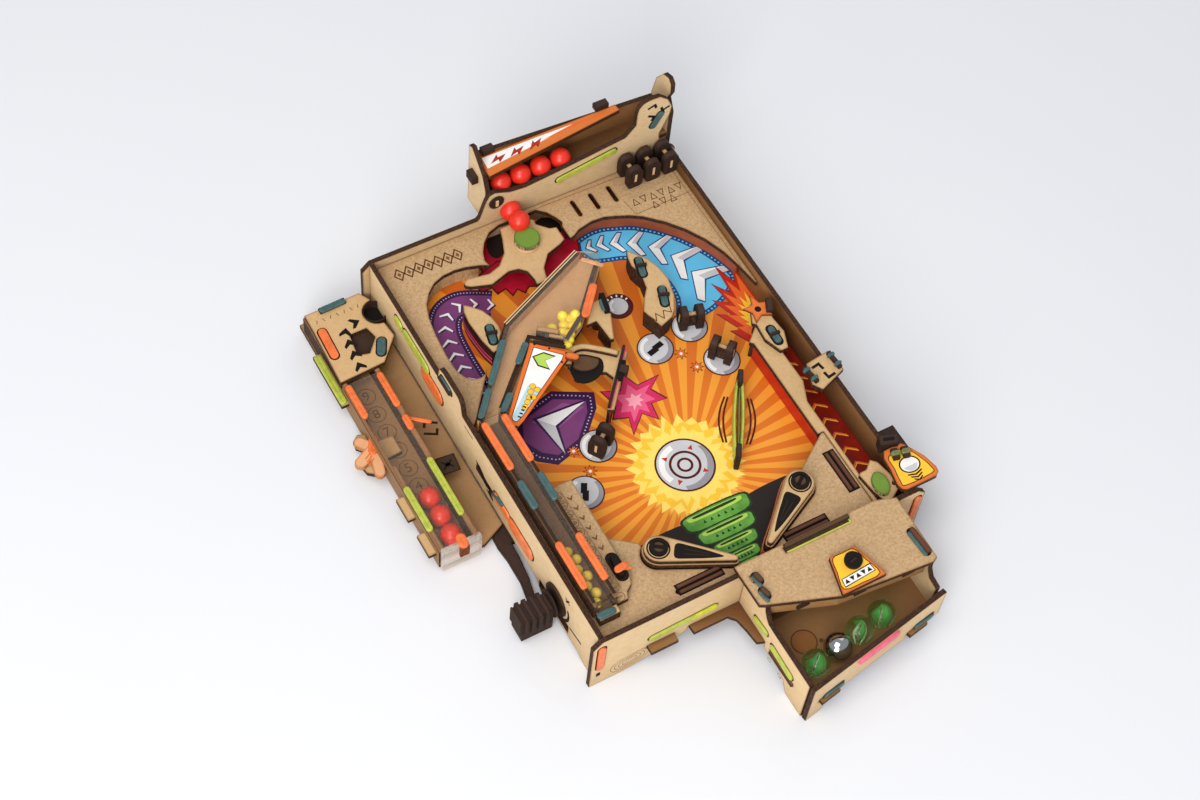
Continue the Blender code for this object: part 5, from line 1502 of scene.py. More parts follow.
@dataclass(frozen=True)
class RefillUnit:
    """Balls, cover, bands, marks and knob of the refill unit."""

    balls: tuple = ((-30.9, 135.4), (-30.7, 122.2), (-31.0, 108.8))
    numbers: tuple = (("4", 148.6), ("5", 162.0), ("6", 175.6), ("7", 189.2), ("8", 202.8), ("9", 216.4))
    tabs: tuple = ((101.5, 116.5), (127, 142.5), (212, 251))

    def build(self) -> None:
        """Adds the refill unit's pieces."""
        for i, (x, y) in enumerate(self.balls, 1):
            ball(f"refill_ball_{i}", (x, y, 14.8), 6.5, RED_BALL)
        slab("refill_cover", rectangle(-43.0, -19.2, 99, 220.5), 21.4, 22.3, CLEAR, slot="clear")
        for text, y in self.numbers:
            number(f"refill_number_{text}", text, (-30.9, y), 8.6, 8.0, 0, BURN_DEEP)
        line_on("refill_number_rings", [circle((-30.9, y), 5.4, 28) for _, y in self.numbers], 0.5, 8.0,
            BURN_DEEP)
        for i, (y0, y1) in enumerate(self.tabs, 1):
            slab(f"refill_tab_{i}", rectangle(-48.6, -43.3, y0, y1), 13.0, 16.0, BIRCH, bevel=0.3)
        self.add_top_plate()
        for i, (x, y, length, finish) in enumerate(((-21.0, 207, 26, ORANGE_BAND), (-41.0, 207.5, 25,
                ORANGE_BAND), (-21.0, 182, 11, ORANGE_BAND), (-21.4, 134.5, 42, LIME_BAND), (-41.8, 128, 32,
                LIME_BAND)), 1):
            band(f"refill_band_{i}", (x, y), length, 4.0, 21.6, finish, 90, thick=2.4, rim=False)
        band("refill_tab_strap_1", (-46.4, 231.5), 38, 4.4, 16.1, LIME_BAND, 90, thick=1.8, rim=False)
        band("refill_end_band", (-30.5, 96.6), 9.5, 6.0, 26.2, ORANGE_BAND, 90, thick=2.2, rim=False)
        slab("refill_end_clip", rectangle(-33.4, -27.6, 16.0, 26.2), 92.6, 94.4, ORANGE_WOOD, side=Side.ACROSS_Y,
            bevel=0.3)
        slab("refill_left_face", rectangle(98.2, 221, 5.2, 21.0), -44.0, -43.72, BIRCH_X, side=Side.ACROSS_X,
            bevel=0.0)
        slab("refill_left_edge", rectangle(-43.7, -41.9, 98.2, 221), 21.02, 21.2, BIRCH, bevel=0.0)
        self.add_knob()
        self.add_base_marks()

    def add_top_plate(self) -> None:
        """Adds the cut arrows, holes and bands of the top plate."""
        level = 24.3
        heads = [turned(chevron(7.4, 4.6, 2.6), c, a) for c, a in (((-29.2, 228.6), 92), ((-28.2, 237.2), 90),
            ((-27.4, 245.6), 86), ((-25.8, 253.6), 62), ((-17.4, 256.6), 4))]
        print_on("refill_arrows", heads, level, BLACK, 1)
        well = circle((-4.4, 258.6), 7.6, 40)
        slab("refill_well", well, 18.3, 24.4, DARK, holes=[circle((-4.4, 258.6), 6.7, 40)])
        print_on("refill_well_floor", [circle((-4.4, 258.6), 6.8, 32)], 18.4, BLACK, 1)
        print_on("refill_pentagon_floor", [rectangle(-28, -9, 231, 252)], 21.08, SOOT, 1)
        for i, (x, y, length, width, angle, finish) in enumerate(((-38.6, 249.8, 23, 5.0, 88, ORANGE_BAND),
                (-12.0, 234.2, 13, 5.2, 62, TEAL_BAND)), 1):
            band(f"refill_plate_band_{i}", (x, y), length, width, level, finish, angle, thick=1.5)
        slab("refill_back_tab", block(8.5, 1.8, (-25.3, 272.6), 2), level + 0.1, level + 2.0, DARK, bevel=0.3)
        band("refill_back_band", (-25.3, 272.2), 17, 4.0, level + 1.8, TEAL_BAND, 2, thick=1.0, rim=False)
        ticks = [block(1.3, 0.25, (-38 + 4.4 * i, 266.5), 70 + 40 * (i % 2)) for i in range(7)]
        print_on("refill_ticks", ticks, level, BURN, 1)

    def add_knob(self) -> None:
        """Adds the slide's three-lobed knob."""
        hub = (-44.2, 179.2)
        for i, (reach, angle, wide) in enumerate(((10.5, 127, 6.6), (13.5, 206, 7.2), (17.5, 256, 6.4)), 1):
            tip = arc(hub, reach / 2, angle, angle, 1)[0]
            slab(f"refill_knob_{i}", turned(pill(reach + 4, wide), tip, angle), 11.5 + 0.08 * i, 14.6 + 0.08 * i,
                PEACH_WOOD, "refill_slide", bevel=0.4)
        band("refill_knob_band", (-43.8, 181), 13, 5.6, 14.9, ORANGE_BAND, 62, "refill_slide", rim=False)
        print_on("refill_knob_marks", [block(2.6, 0.4, (-49.5, 176 - 2.2 * i), 30) for i in range(3)], 14.9,
            ORANGE, 1, "refill_slide")

    def add_base_marks(self) -> None:
        """Adds what lies on the base between the channel and the case."""
        level = LEVEL.base
        square = block(5.6, 5.6, (-12.6, 148.6), -6)
        print_on("base_plate_square", [square], level, SOOT, 1)
        line_on("base_plate_square_line", [square], 0.6, level, BLACK, layer=2)
        print_on("base_plate_square_marks", [turned(chevron(6.5, 4.0, 1.6), (-12.6, 148.6), a) for a in (84,
            264)], level, BLACK, 2)
        cut = [(-4.2, 2.4), (4.2, 2.4), (4.2, 0.8), (-2.6, 0.8), (-2.6, -2.4), (-4.2, -2.4)]
        print_on("base_cuts", [turned(cut, (-11.0, 172.5), 150), turned(cut, (-9.4, 176.8), 330)], level, BLACK,
            1)
        band("base_band", (-14.5, 182.0), 16, 2.4, 19.4, ORANGE_BAND, -38, thick=1.4, rim=False)


@dataclass(frozen=True)
class BallTower:
    """Balls, label, tabs and bands of the tower and the back wall."""

    balls: tuple = (91.6, 105.0, 118.6, 132.2)

    def build(self) -> None:
        """Adds the tower's pieces."""
        for i, x in enumerate(self.balls, 1):
            ball(f"tower_ball_{i}", (x, 283.4, 64.6), 6.5, RED_BALL)
        top = 80.0
        print_on("tower_roof_panel", [[(83.5, 284.8), (126, 289.4), (147, 292.4), (120, 293.0), (84, 293.2)]],
            top, WHITE, 1)
        bolts = [turned([(-5, -1.2), (0.6, -0.4), (0.2, -2.6), (6, 0.8), (0.4, 0.6), (0.8, 2.6)], (92 + 12.5 * i,
            288.8), 4 + 6 * i) for i in range(3)]
        print_on("tower_roof_bolts", bolts, top, FLAME_RED, 3)
        line_on("tower_roof_bolt_lines", bolts, 0.4, top, MAROON, layer=4)
        print_on("tower_roof_streak", [[(122, 289.4), (150, 291.0), (170, 291.4), (146, 292.6)]], top, FLAME, 2)
        for i, (x, z, wide) in enumerate(((89, 84.5, 8), (166, 84.5, 9)), 1):
            slab(f"tower_tab_{i}", rectangle(x - wide / 2, x + wide / 2, z - 4.6, z - 0.6), 294.0, 298.8, DARK,
                side=Side.ACROSS_Y, bevel=0.3)
        slab("tower_left_tab", rectangle(286, 294, 68, 74), 74.0, 81.5, DARK, side=Side.ACROSS_X, bevel=0.3)
        band("back_wall_band", (144.6, 62.2), 42, 4.4, BACK_WALL, LIME_BAND, 10.5, **FRONT_FACE)
        band("tower_head_band", (192.0, 79.5), 14, 4.4, BACK_WALL, TEAL_BAND, 62, **FRONT_FACE)
        for i, (x, z, angle) in enumerate(((188.0, 92.0, 20), (197.0, 88.0, 200), (187.5, 83.0, -30)), 1):
            print_on(f"tower_head_cut_{i}", [turned([(-3, 2.2), (3, 2.2), (3, -2.2), (1.2, -2.2), (1.2, 0.4),
                (-3, 0.4)], (x, z), angle)], 273.6, BLACK, -1, slot="dark_board", side=Side.ACROSS_Y)
        slab("tower_washer", circle((83.5, 61.5), 4.8, 32), 272.3, BACK_WALL, DARK, side=Side.ACROSS_Y, bevel=0.3)
        slab("tower_washer_pin", rectangle(82.6, 84.4, 59.0, 64.0), 271.6, 272.3, PALE_EDGE, side=Side.ACROSS_Y)
        for i, (x, y, z) in enumerate(((92.6, 272.0, 50.0), (93.4, 262.0, 50.6)), 1):
            ball(f"lever_ball_{i}", (x, y, z), 6.5, RED_BALL)


@dataclass(frozen=True)
class TopBoard:
    """Marks, slots, washers and tabs of the boards at deck level."""

    def build(self) -> None:
        """Adds the deck's small pieces."""
        level = LEVEL.deck
        line_on("storage_line", [[(104.5, 270.8), (168, 269.6)], [(160, 252), (162, 240), (199, 240.5)],
            [(198.5, 268), (198.5, 178)]], 0.35, level, BURN, closed=False)
        marks = [turned([(-1.9, -2.4), (1.9, -2.4), (0, 2.2)], (x, y), a) for x, y, a in ((166, 248.5, 0),
            (172, 248.2, 180), (178, 247.9, 0), (184, 247.6, 180), (190, 247.3, 0), (196, 247.0, 180),
            (176, 241.6, 0), (182, 241.4, 180), (188, 241.2, 0))]
        line_on("storage_marks", marks, 0.55, level, BURN_DEEP)
        centres = [(14.5 + 6.2 * i, 263.4 - 0.35 * i) for i in range(7)]
        waves = [turned([(-3.0, 0), (0, 4.2), (3.0, 0), (0, -4.2)], centre) for centre in centres]
        line_on("board_ornament", waves, 0.9, level, BURN_DEEP)
        middles = [turned([(-1.2, 0), (0, 1.8), (1.2, 0), (0, -1.8)], centre) for centre in centres]
        print_on("board_ornament_middles", middles, level, BURN, 1)
        for i, (x, y, angle, length) in enumerate(((42.8, 201.5, 76, 14), (144.4, 204.4, 76, 14.5), (145.8, 180.0,
                70, 14.5)), 1):
            print_on(f"deck_cut_{i}", [turned(pill(length + 1.6, 6.2), (x, y), angle)], level, BLACK, 1,
                slot="dark_board")
            band(f"deck_band_{i}", (x, y), length, 4.2, level, TEAL_BAND, angle, thick=2.2, rim=False)
            slab(f"deck_cut_bar_{i}", block(3.4, 0.8, (x, y), angle + 90), LEVEL.on_deck, 46.2, DARK)
        for i, (x, y, length, angle) in enumerate(((68, 10.0, 29, 0), (68, 6.6, 29, 0), (137, 10.4, 29, 0),
                (137, 7.0, 29, 0), (172.8, 31, 29, 90), (176.4, 31, 29, 90)), 1):
            print_on(f"deck_tab_{i}_rim", [block(length / 2, 1.9, (x, y), angle)], level, BLACK, 1,
                slot="dark_board")
            slab(f"deck_tab_{i}", block(length / 2 - 1.0, 1.1, (x, y), angle), 41.0, 43.7, RUSSET, bevel=0.2)
        slab("release_cap", circle((92.5, 250.5), 7.8, 40), 45.6, 48.6, OLIVE_CAP, "release_lever", bevel=0.5)
        slab("release_cap_rim", circle((92.5, 250.5), 7.9, 40), 43.3, 45.5, PALE_EDGE, "release_lever")
        crown = [(131, 171.5), (133.4, 166.6), (135.4, 171.4), (138.4, 166.2), (140.6, 171.4), (144.4, 168.2),
            (146.2, 174.6)]
        line_on("guide_marks", [crown], 0.6, level, BURN_DEEP, closed=False)
        wall = [(38.0, 226.5), (36.2, 222), (35.2, 214), (36.2, 200), (38.2, 190.5)]
        for i, (low, high, finish) in enumerate(((28.4, 39.8, MAROON), (31.0, 33.0, ROSE), (35.0, 36.2, ROSE)),
                1):
            self.skirt(f"island_skirt_{i}", offset(smooth(wall, 4, False), -0.35 - 0.1 * i, False), low, high,
                finish)

    @staticmethod
    def skirt(name: str, path: Sequence[Point], low: float, high: float, finish: Finish) -> None:
        """Hangs a printed strip along a path on an upright face.

        Args:
            name: Name of the piece.
            path: Where it runs.
            low: Height of its lower edge.
            high: Height of its upper edge.
            finish: Its finish.
        """
        work = bmesh.new()
        lower = [work.verts.new(PLAN.at(x, y, low)) for x, y in path]
        upper = [work.verts.new(PLAN.at(x, y, high)) for x, y in path]
        for i in range(len(path) - 1):
            work.faces.new((lower[i], lower[i + 1], upper[i + 1], upper[i]))
        from_mesh(name, work, finish, "case", "print")


@dataclass(frozen=True)
class SmallLevers:
    """Cut-outs, plates and bands of the rocker, bonus lever, deflector and bridge."""

    def build(self) -> None:
        """Adds the levers' pieces."""
        self.add_rocker()
        self.add_bonus_lever()
        self.add_deflector()
        self.add_bridge()
        self.add_bumper()

    @staticmethod
    def add_rocker() -> None:
        """Adds the rocker's painted shade round its brown plate, its target's face and its peg."""
        level = LEVEL.lever
        # Painted shade: a black print round the brown plate stands for the shadow under it.
        hollow = smooth(((69.5, 150), (70.0, 157.2), (74, 162.5), (80, 164.5), (86.5, 160), (90, 155.5),
            (87, 148.5), (80, 145), (73, 145.5)), 3)
        print_on("rocker_painted_shade", [hollow], level + 0.3, BLACK, 1, "target_rocker", "dark_board")
        brown = smooth(((72.2, 157), (75, 161), (80, 162.6), (85.5, 158.6), (88, 155.4), (84, 151.6),
            (77, 152.2)), 3)
        slab("rocker_plate", brown, 46.9, 48.0, SOOT_WOOD, "target_rocker")
        slab("rocker_rim", ribbon(smooth(((70.5, 160), (75, 167), (83, 167.4), (91.5, 161.4), (99.6, 154)), 5,
            False), 3.6), 46.6, 49.0, BIRCH, "target_rocker")
        face = [(106.0, 156.6), (77.8, 124.4), (76.6, 125.4), (104.8, 157.6)]
        slab("target_face", face, 30.9, 49.4, DARK, "target_rocker", slot="print", bevel=0.1)
        glow = [(106.3, 156.0), (78.2, 124.0), (77.9, 124.3), (106.0, 156.3)]
        slab("target_print", glow, 31.5, 48.8, MAGENTA, "target_rocker", slot="print", bevel=0.0)
        slab("rocker_tab", block(6.4, 1.7, (95.4, 143.0), 49), 46.4, 50.4, BLACK, "target_rocker", bevel=0.4)
        slab("rocker_tab_knob", block(2.6, 2.6, (96.6, 142.0), 49), 46.4, 51.6, DARK, "target_rocker", bevel=0.5)

    @staticmethod
    def add_bonus_lever() -> None:
        """Adds the bonus lever's band, pin and printed disc."""
        level = LEVEL.lever
        slab("bonus_post", block(6.5, 1.6, (110.2, 188.5), 78), LEVEL.on_deck, 50.0, BLACK, "bonus_lever", bevel=0.4)
        band("bonus_band", (109.2, 187.0), 9.5, 5.4, level + 2.4, TEAL_BAND, 78, "bonus_lever", thick=1.8,
            rim=False)
        disc = (124.6, 194.6)
        print_on("bonus_disc_rim", [circle(disc, 9.2)], LEVEL.field, MAROON, 2)
        print_on("bonus_disc_ticks", [turned(rectangle(6.7, 8.3, -0.45, 0.45), disc, a) for a in range(20, 165,
            24)], LEVEL.field, WHITE, 3)
        print_on("bonus_disc", [circle(disc, 6.0)], LEVEL.field, GREY, 3)
        print_on("bonus_disc_shine", [arc(disc, 5.2, 95, 205, 12) + arc(disc, 3.8, 205, 95, 12)], LEVEL.field,
            WHITE, 4)

    @staticmethod
    def add_deflector() -> None:
        """Adds the deflector's star, cut-out, band and peg."""
        level = LEVEL.lever
        star = [(189.6, 155.2), (187.0, 148.4), (180.6, 148.4), (184.4, 143.2), (183.0, 136.4), (188.6, 139.8),
            (194.6, 137.0), (193.4, 143.4), (198.2, 146.2), (191.8, 148.0)]
        slab("deflector_star", star, 46.45, 48.0, ORANGE_WOOD, "deflector", slot="print", bevel=0.25)
        print_on("deflector_hole", [circle((188.6, 144.2), 2.0)], 48.0, BLACK, 1, "deflector")
        print_on("deflector_cut", [turned(pill(15.5, 6.4), (188.4, 125.0), 88)], level, BLACK, 1, "deflector")
        band("deflector_band", (188.4, 125.0), 12.5, 4.2, level, TEAL_BAND, 88, "deflector", thick=2.0, rim=False)
        slab("deflector_cut_bar", block(3.2, 0.8, (188.4, 125.0), -2), 46.5, 49.0, DARK, "deflector")
        slab("deflector_peg", block(4.4, 2.0, (195.4, 142.8), 64), LEVEL.on_deck, 51.0, DARK, bevel=0.4)

    @staticmethod
    def add_bridge() -> None:
        """Adds the bridge's two cut-outs and the strapped tabs at its ends."""
        top = LEVEL.cover
        hook = [(-3.0, 2.6), (3.0, 2.6), (3.0, -2.6), (1.2, -2.6), (1.2, 0.8), (-3.0, 0.8)]
        print_on("bridge_cuts", [turned(hook, (195.6, 91.0), 10), turned(hook, (199.6, 84.6), 190)], top, BLACK,
            1, slot="dark_board")
        for i, (x, y, angle) in enumerate(((188.6, 88.2, 100), (206.4, 90.6, 94)), 1):
            slab(f"bridge_tab_{i}", block(6.2, 1.3, (x, y), angle), 52.8, 55.2, DARK, bevel=0.4)
            for k in (-1, 1):
                spot = arc((x, y), 3.4 * k, angle, angle, 1)[0]
                band(f"bridge_band_{i}_{k + 2}", spot, 4.8, 2.4, 54.2, TEAL_BAND, angle + 90, thick=2.6,
                    rim=False)

    @staticmethod
    def add_bumper() -> None:
        """Stretches the lime loop round the two bumper posts."""
        first, last = Vector((130.4, 69.0)), Vector((157.6, 111.6))
        way = (last - first).normalized()
        path, steps = [], 18
        for side, order in ((1, range(steps + 1)), (-1, range(steps, -1, -1))):
            for k in order:
                share = k / steps
                spot = first.lerp(last, share)
                swell = side * (0.9 + 1.6 * math.sin(math.pi * share) ** 0.6)
                path.append(PLAN.at(spot.x - way.y * swell, spot.y + way.x * swell, 35.0))
        tube_ring("bumper_band", path, 2.0, 7.0, LIME_BAND)
        for i, spot in enumerate((first, last), 1):
            post = slab(f"bumper_cap_{i}", block(4.4, 1.5, tuple(spot), math.degrees(math.atan2(way.y, way.x))),
                28.3, 43.2, DARK, slot="dark_board", bevel=0.4)
            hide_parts(f"bumper_post_{i}")
        inner = [PLAN.at(first.lerp(last, k).x, first.lerp(last, k).y, 34.5) for k in (0.1, 0.35, 0.65, 0.9)]
        tube_ring("bumper_band_inner", inner + [p + Vector((0.0002, -0.0002, 0)) for p in inner[::-1]], 0.9, 6.0,
            OLIVE_BAND)


@dataclass(frozen=True)
class Launcher:
    """Print, tabs and oval of the launcher."""

    def build(self) -> None:
        """Adds the launcher's pieces."""
        panel = smooth(((198.8, 22.0), (197.6, 14.6), (196.0, 5.6), (197.4, 2.2), (215.0, 2.2), (216.8, 5.4),
            (215.0, 13.2), (209.8, 23.0)), 3)
        top = LEVEL.cover
        print_on("launcher_panel", [panel], top, YOLK, 1, "launcher")
        line_on("launcher_panel_line", [panel], 0.5, top, MAROON, layer=2, body="launcher")
        dome = turned(oval(5.6, 4.6, 28), (206.8, 12.6))
        print_on("launcher_dome_rim", [scaled(dome, (206.8, 12.6), 1.16, 1.18)], top, CHAR, 3, "launcher")
        print_on("launcher_dome", [dome], top, WHITE, 4, "launcher")
        print_on("launcher_dome_shade", [arc((206.8, 12.6), 4.4, 190, 350, 14)], top, GREY, 5, "launcher")
        bars = [turned([(-4.6 + 0.9 * i, 0.9), (0, -0.5), (4.6 - 0.9 * i, 0.9), (4.6 - 0.9 * i, 0.0), (0, -1.5),
            (-4.6 + 0.9 * i, 0.0)], (206.6, 6.6 - 1.9 * i)) for i in range(3)]
        print_on("launcher_bars", bars, top, CHAR, 3, "launcher")
        for i, (x, y) in enumerate(((202.4, 21.2), (208.4, 19.8)), 1):
            slab(f"launcher_tab_{i}", block(2.0, 3.4, (x, y), -14), 52.75, 55.6, DARK, "launcher", bevel=0.4)
            band(f"launcher_tab_band_{i}", (x, y), 5.6, 3.4, 54.4, OLIVE_BAND, -14, "launcher", thick=2.8,
                rim=False)
        slab("launcher_head", block(5.4, 3.2, (203.6, 30.2), -18), 47.4, 56.5, DARK, "launcher", bevel=0.5)
        slab("launcher_head_bar", block(3.2, 0.8, (203.6, 30.2), -18), 56.5, 57.2, BLACK, "launcher")
        slab("striker_cap", turned(oval(4.8, 7.6), (187.6, 11.6), -10), 46.4, 48.4, OLIVE_CAP, "launcher", bevel=0.5)


@dataclass(frozen=True)
class Tray:
    """Label, bands, tabs, vanes and marks of the tray and its cover."""

    marbles: tuple = ("marble_1", "marble_3", "marble_4")

    def build(self) -> None:
        """Adds the tray's pieces."""
        self.add_cover()
        self.add_reset()
        for i, (x, y) in enumerate(((108, -33.2), (140, -40.5), (170, -43.0)), 1):
            slab(f"lip_tab_{i}", rectangle(x - 4, x + 4, y - 0.2, y + 1.4), 46.6, 49.2, DARK)
        print_on("tray_spot", [circle((108.4, -41.0), 7.2, 36)], LEVEL.on_tray, RUSSET_INK, 1)
        line_on("tray_circle", [circle((108.4, -41.0), 7.2, 36)], 0.8, LEVEL.on_tray, BURN_DEEP, layer=2)
        print_on("tray_smudge", [circle((117.4, -44.6), 1.3, 16)], LEVEL.on_tray, BURN_DEEP, 1)
        self.add_front_wall()
        self.add_left_wall()
        slab("tray_floor", [(93.0, -22.0), (185.6, -22.0), (185.6, -52.4), (93.0, -68.6)], 18.02, 18.24,
            TRAY_BOARD, slot="fibreboard", bevel=0.0)
        for name in self.marbles + ("marble_2",):
            low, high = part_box(name)
            middle = (low + high) / 2
            work = bmesh.new()
            bmesh.ops.create_uvsphere(work, u_segments=48, v_segments=28, radius=(high.x - low.x) / 2,
                matrix=Matrix.Translation(middle))
            metal = name == "marble_2"
            made = from_mesh(f"{name}_ball", work, STEEL if metal else GLASS, name, "steel" if metal else "glass",
                rounded=True)
            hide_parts(name)
        for name in self.marbles:
            self.add_vanes(name)

    @staticmethod
    def add_cover() -> None:
        """Adds the cover's tabs and bands."""
        top = LEVEL.cover
        slab("cover_front_tab", rectangle(115.5, 157.5, -1.1, 1.5), top + 0.1, top + 1.6, SOOT_WOOD, bevel=0.3)
        band("cover_band", (136.5, -2.6), 42, 2.6, top, LIME_BAND, thick=1.2, rim=False)
        for i, (x, y, angle) in enumerate(((92.6, -9.4, 100), (91.4, -18.8, 100)), 1):
            print_on(f"cover_hole_{i}", [turned(pill(8.8, 5.0), (x, y), angle)], top, BLACK, 1, slot="dark_board")
            slab(f"cover_pin_{i}", turned(pill(7.0, 3.4), (x + 0.3, y), angle), top, top + 1.8, SOOT_WOOD,
                bevel=0.4)
            band(f"cover_side_band_{i}", (x - 1.4, y - 1.6), 8.4, 2.4, top, TEAL_BAND, angle, thick=1.6,
                rim=False)
        print_on("cover_hole_3", [turned(pill(19.5, 5.4), (183.6, -31.0), 93)], top, BLACK, 1, slot="dark_board")
        slab("cover_pin_3", turned(pill(18.0, 3.2), (184.2, -31.0), 93), top, top + 1.8, RUSSET, bevel=0.4)
        band("cover_side_band_3", (182.0, -31.8), 17.0, 2.6, top, TEAL_BAND, 93, thick=1.8, rim=False)

    @staticmethod
    def add_reset() -> None:
        """Adds the reset plate's print and pin."""
        top = 56.0
        plate = smooth(((134.0, -19.4), (131.6, -28), (129.6, -37.8), (141, -39.0), (152.4, -38.4), (150.0, -28),
            (147.6, -19.4), (141, -18.8)), 3)
        print_on("reset_panel", [plate], top, YOLK, 1, "reset_lever")
        line_on("reset_panel_line", [plate], 0.5, top, MAROON, layer=2, body="reset_lever")
        bar = [(131.2, -36.8), (150.8, -35.6), (150.2, -31.4), (131.8, -32.6)]
        print_on("reset_bar_rim", [scaled(bar, (141, -34.2), 1.05, 1.25)], top, CHAR, 3, "reset_lever")
        print_on("reset_bar", [bar], top, WHITE, 4, "reset_lever")
        print_on("reset_marks", [turned([(-1.5, -1.3), (1.5, -1.3), (0, 1.5)], (133.6 + 3.7 * i,
            -34.5 + 0.22 * i), 180 * (i % 2)) for i in range(5)], top, CHAR, 5, "reset_lever")
        slab("reset_pin", circle((142.8, -25.9), 5.1, 32), 57.55, 58.9, BLACK, "reset_lever",
            holes=[block(2.6, 0.9, (142.8, -25.9), 12)], bevel=0.3)
        slab("reset_pin_bar", block(2.7, 0.8, (142.8, -25.9), 12), 57.5, 58.2, SOOT_WOOD, "reset_lever")

    def add_front_wall(self) -> None:
        """Adds what the tray's front wall carries on its outer face."""
        start, end = Vector((90.0, -72.4)), Vector((187.0, -55.4))
        way = (end - start).normalized()
        out = Vector((way.y, -way.x))

        def lift(u: float, v: float, w: float) -> Vector:
            spot = start + way * u + out * w
            return PLAN.at(spot.x, spot.y, v)

        for i, (u, length) in enumerate(((17.0, 15), (85.0, 15)), 1):
            band(f"tray_front_band_{i}", (u, 18.4), length, 4.2, 3.2, TEAL_BAND, thick=1.8, lift=lift)
        band("tray_top_band", (47.5, 32.4), 31, 5.4, 3.2, PINK_BAND, thick=2.4, lift=lift, rim=False)

    @staticmethod
    def add_left_wall() -> None:
        """Adds the bands of the tray's left wall."""
        x = 89.5
        band("tray_left_band_1", (-24.8, 26.8), 14, 4.6, x, LIME_BAND, -6, **LEFT_FACE)
        band("tray_left_band_2", (-47.0, 22.4), 23, 5.0, x, LIME_BAND, 4, **LEFT_FACE)
        line_on("tray_left_rings", [circle((-37.6, 8.0), 1.5, 16), circle((-48.1, 7.2), 1.5, 16)], 0.35, x, BURN,
            side=Side.ACROSS_X, layer=-1)

    def add_vanes(self, name: str) -> None:
        """Adds the coloured twists inside a glass marble.

        Args:
            name: Name of the marble.
        """
        low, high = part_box(name)
        middle, radius = (low + high) / 2, (high.x - low.x) / 2
        seed = sum(ord(letter) for letter in name) % 7
        for colour, finish in enumerate((VANE_GREEN, VANE_PALE)):
            work = bmesh.new()
            blades, rows = 2, 14
            for blade in range(blades):
                spine = []
                for row in range(rows + 1):
                    share = row / rows
                    turn = math.pi * blade + colour * 1.4 + seed + share * 1.5
                    reach = radius * 0.78 * math.sin(math.pi * share)
                    axis = Vector((0.5 - 0.1 * seed, 0.35, 0.8)).normalized()
                    aside = axis.orthogonal().normalized()
                    across = (aside * math.cos(turn) + axis.cross(aside) * math.sin(turn)) * reach
                    base = middle + axis * radius * (share - 0.5) * 1.6
                    spine.append((work.verts.new(base + across * (0.25 if colour else 0.1)),
                        work.verts.new(base + across * (0.42 if colour else 0.62))))
                for a, b in zip(spine, spine[1:]):
                    work.faces.new((a[0], a[1], b[1], b[0]))
            from_mesh(f"{name}_vane_{colour + 1}", work, finish, name, "glass", rounded=True)


@dataclass(frozen=True)
class PegLook:
    """A peg as it is made: two rounded dark cheeks joined by a pale web."""

    name: str
    centre: Point
    turn: float
    foot: float
    length: float = 14.2
    cheek: float = 4.3
    wide: float = 10.0
    tall: float = 16.4

    def lift(self, u: float, v: float, w: float) -> Vector:
        """A place across the peg, up it and along it."""
        c, s = math.cos(math.radians(self.turn)), math.sin(math.radians(self.turn))
        return PLAN.at(self.centre[0] + w * c - u * s, self.centre[1] + w * s + u * c, v)

    def build(self) -> None:
        """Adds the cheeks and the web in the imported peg's place."""
        half, low, high = self.wide / 2, self.foot + 0.3, self.foot + self.tall
        outline = smooth(((-half * 0.8, low), (-half, low + 5), (-half, high - 4), (-half * 0.55, high - 0.5),
            (0, high), (half * 0.55, high - 0.5), (half, high - 4), (half, low + 5), (half * 0.8, low)), 3)
        reach = self.length / 2
        pieces = []
        for i, (start, end) in enumerate(((-reach, self.cheek - reach), (reach - self.cheek, reach)), 1):
            pieces.append(slab(f"{self.name}_cheek_{i}", outline, start, end, DARK, self.name, "dark_board",
                lift=self.lift, bevel=0.5))
            outside = start - 0.15 if start < 0 else end
            pieces.append(slab(f"{self.name}_tenon_{i}", rectangle(-0.75, 0.75, low + 5.0, low + 11.5), outside,
                outside + 0.15, PALE_EDGE, self.name, "ply", lift=self.lift, bevel=0.0))
        web = slab(f"{self.name}_web", rectangle(-1.4, 1.4, low, high - 5.0), self.cheek - reach,
            reach - self.cheek, BIRCH, self.name, "ply", lift=self.lift)
        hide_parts(self.name)


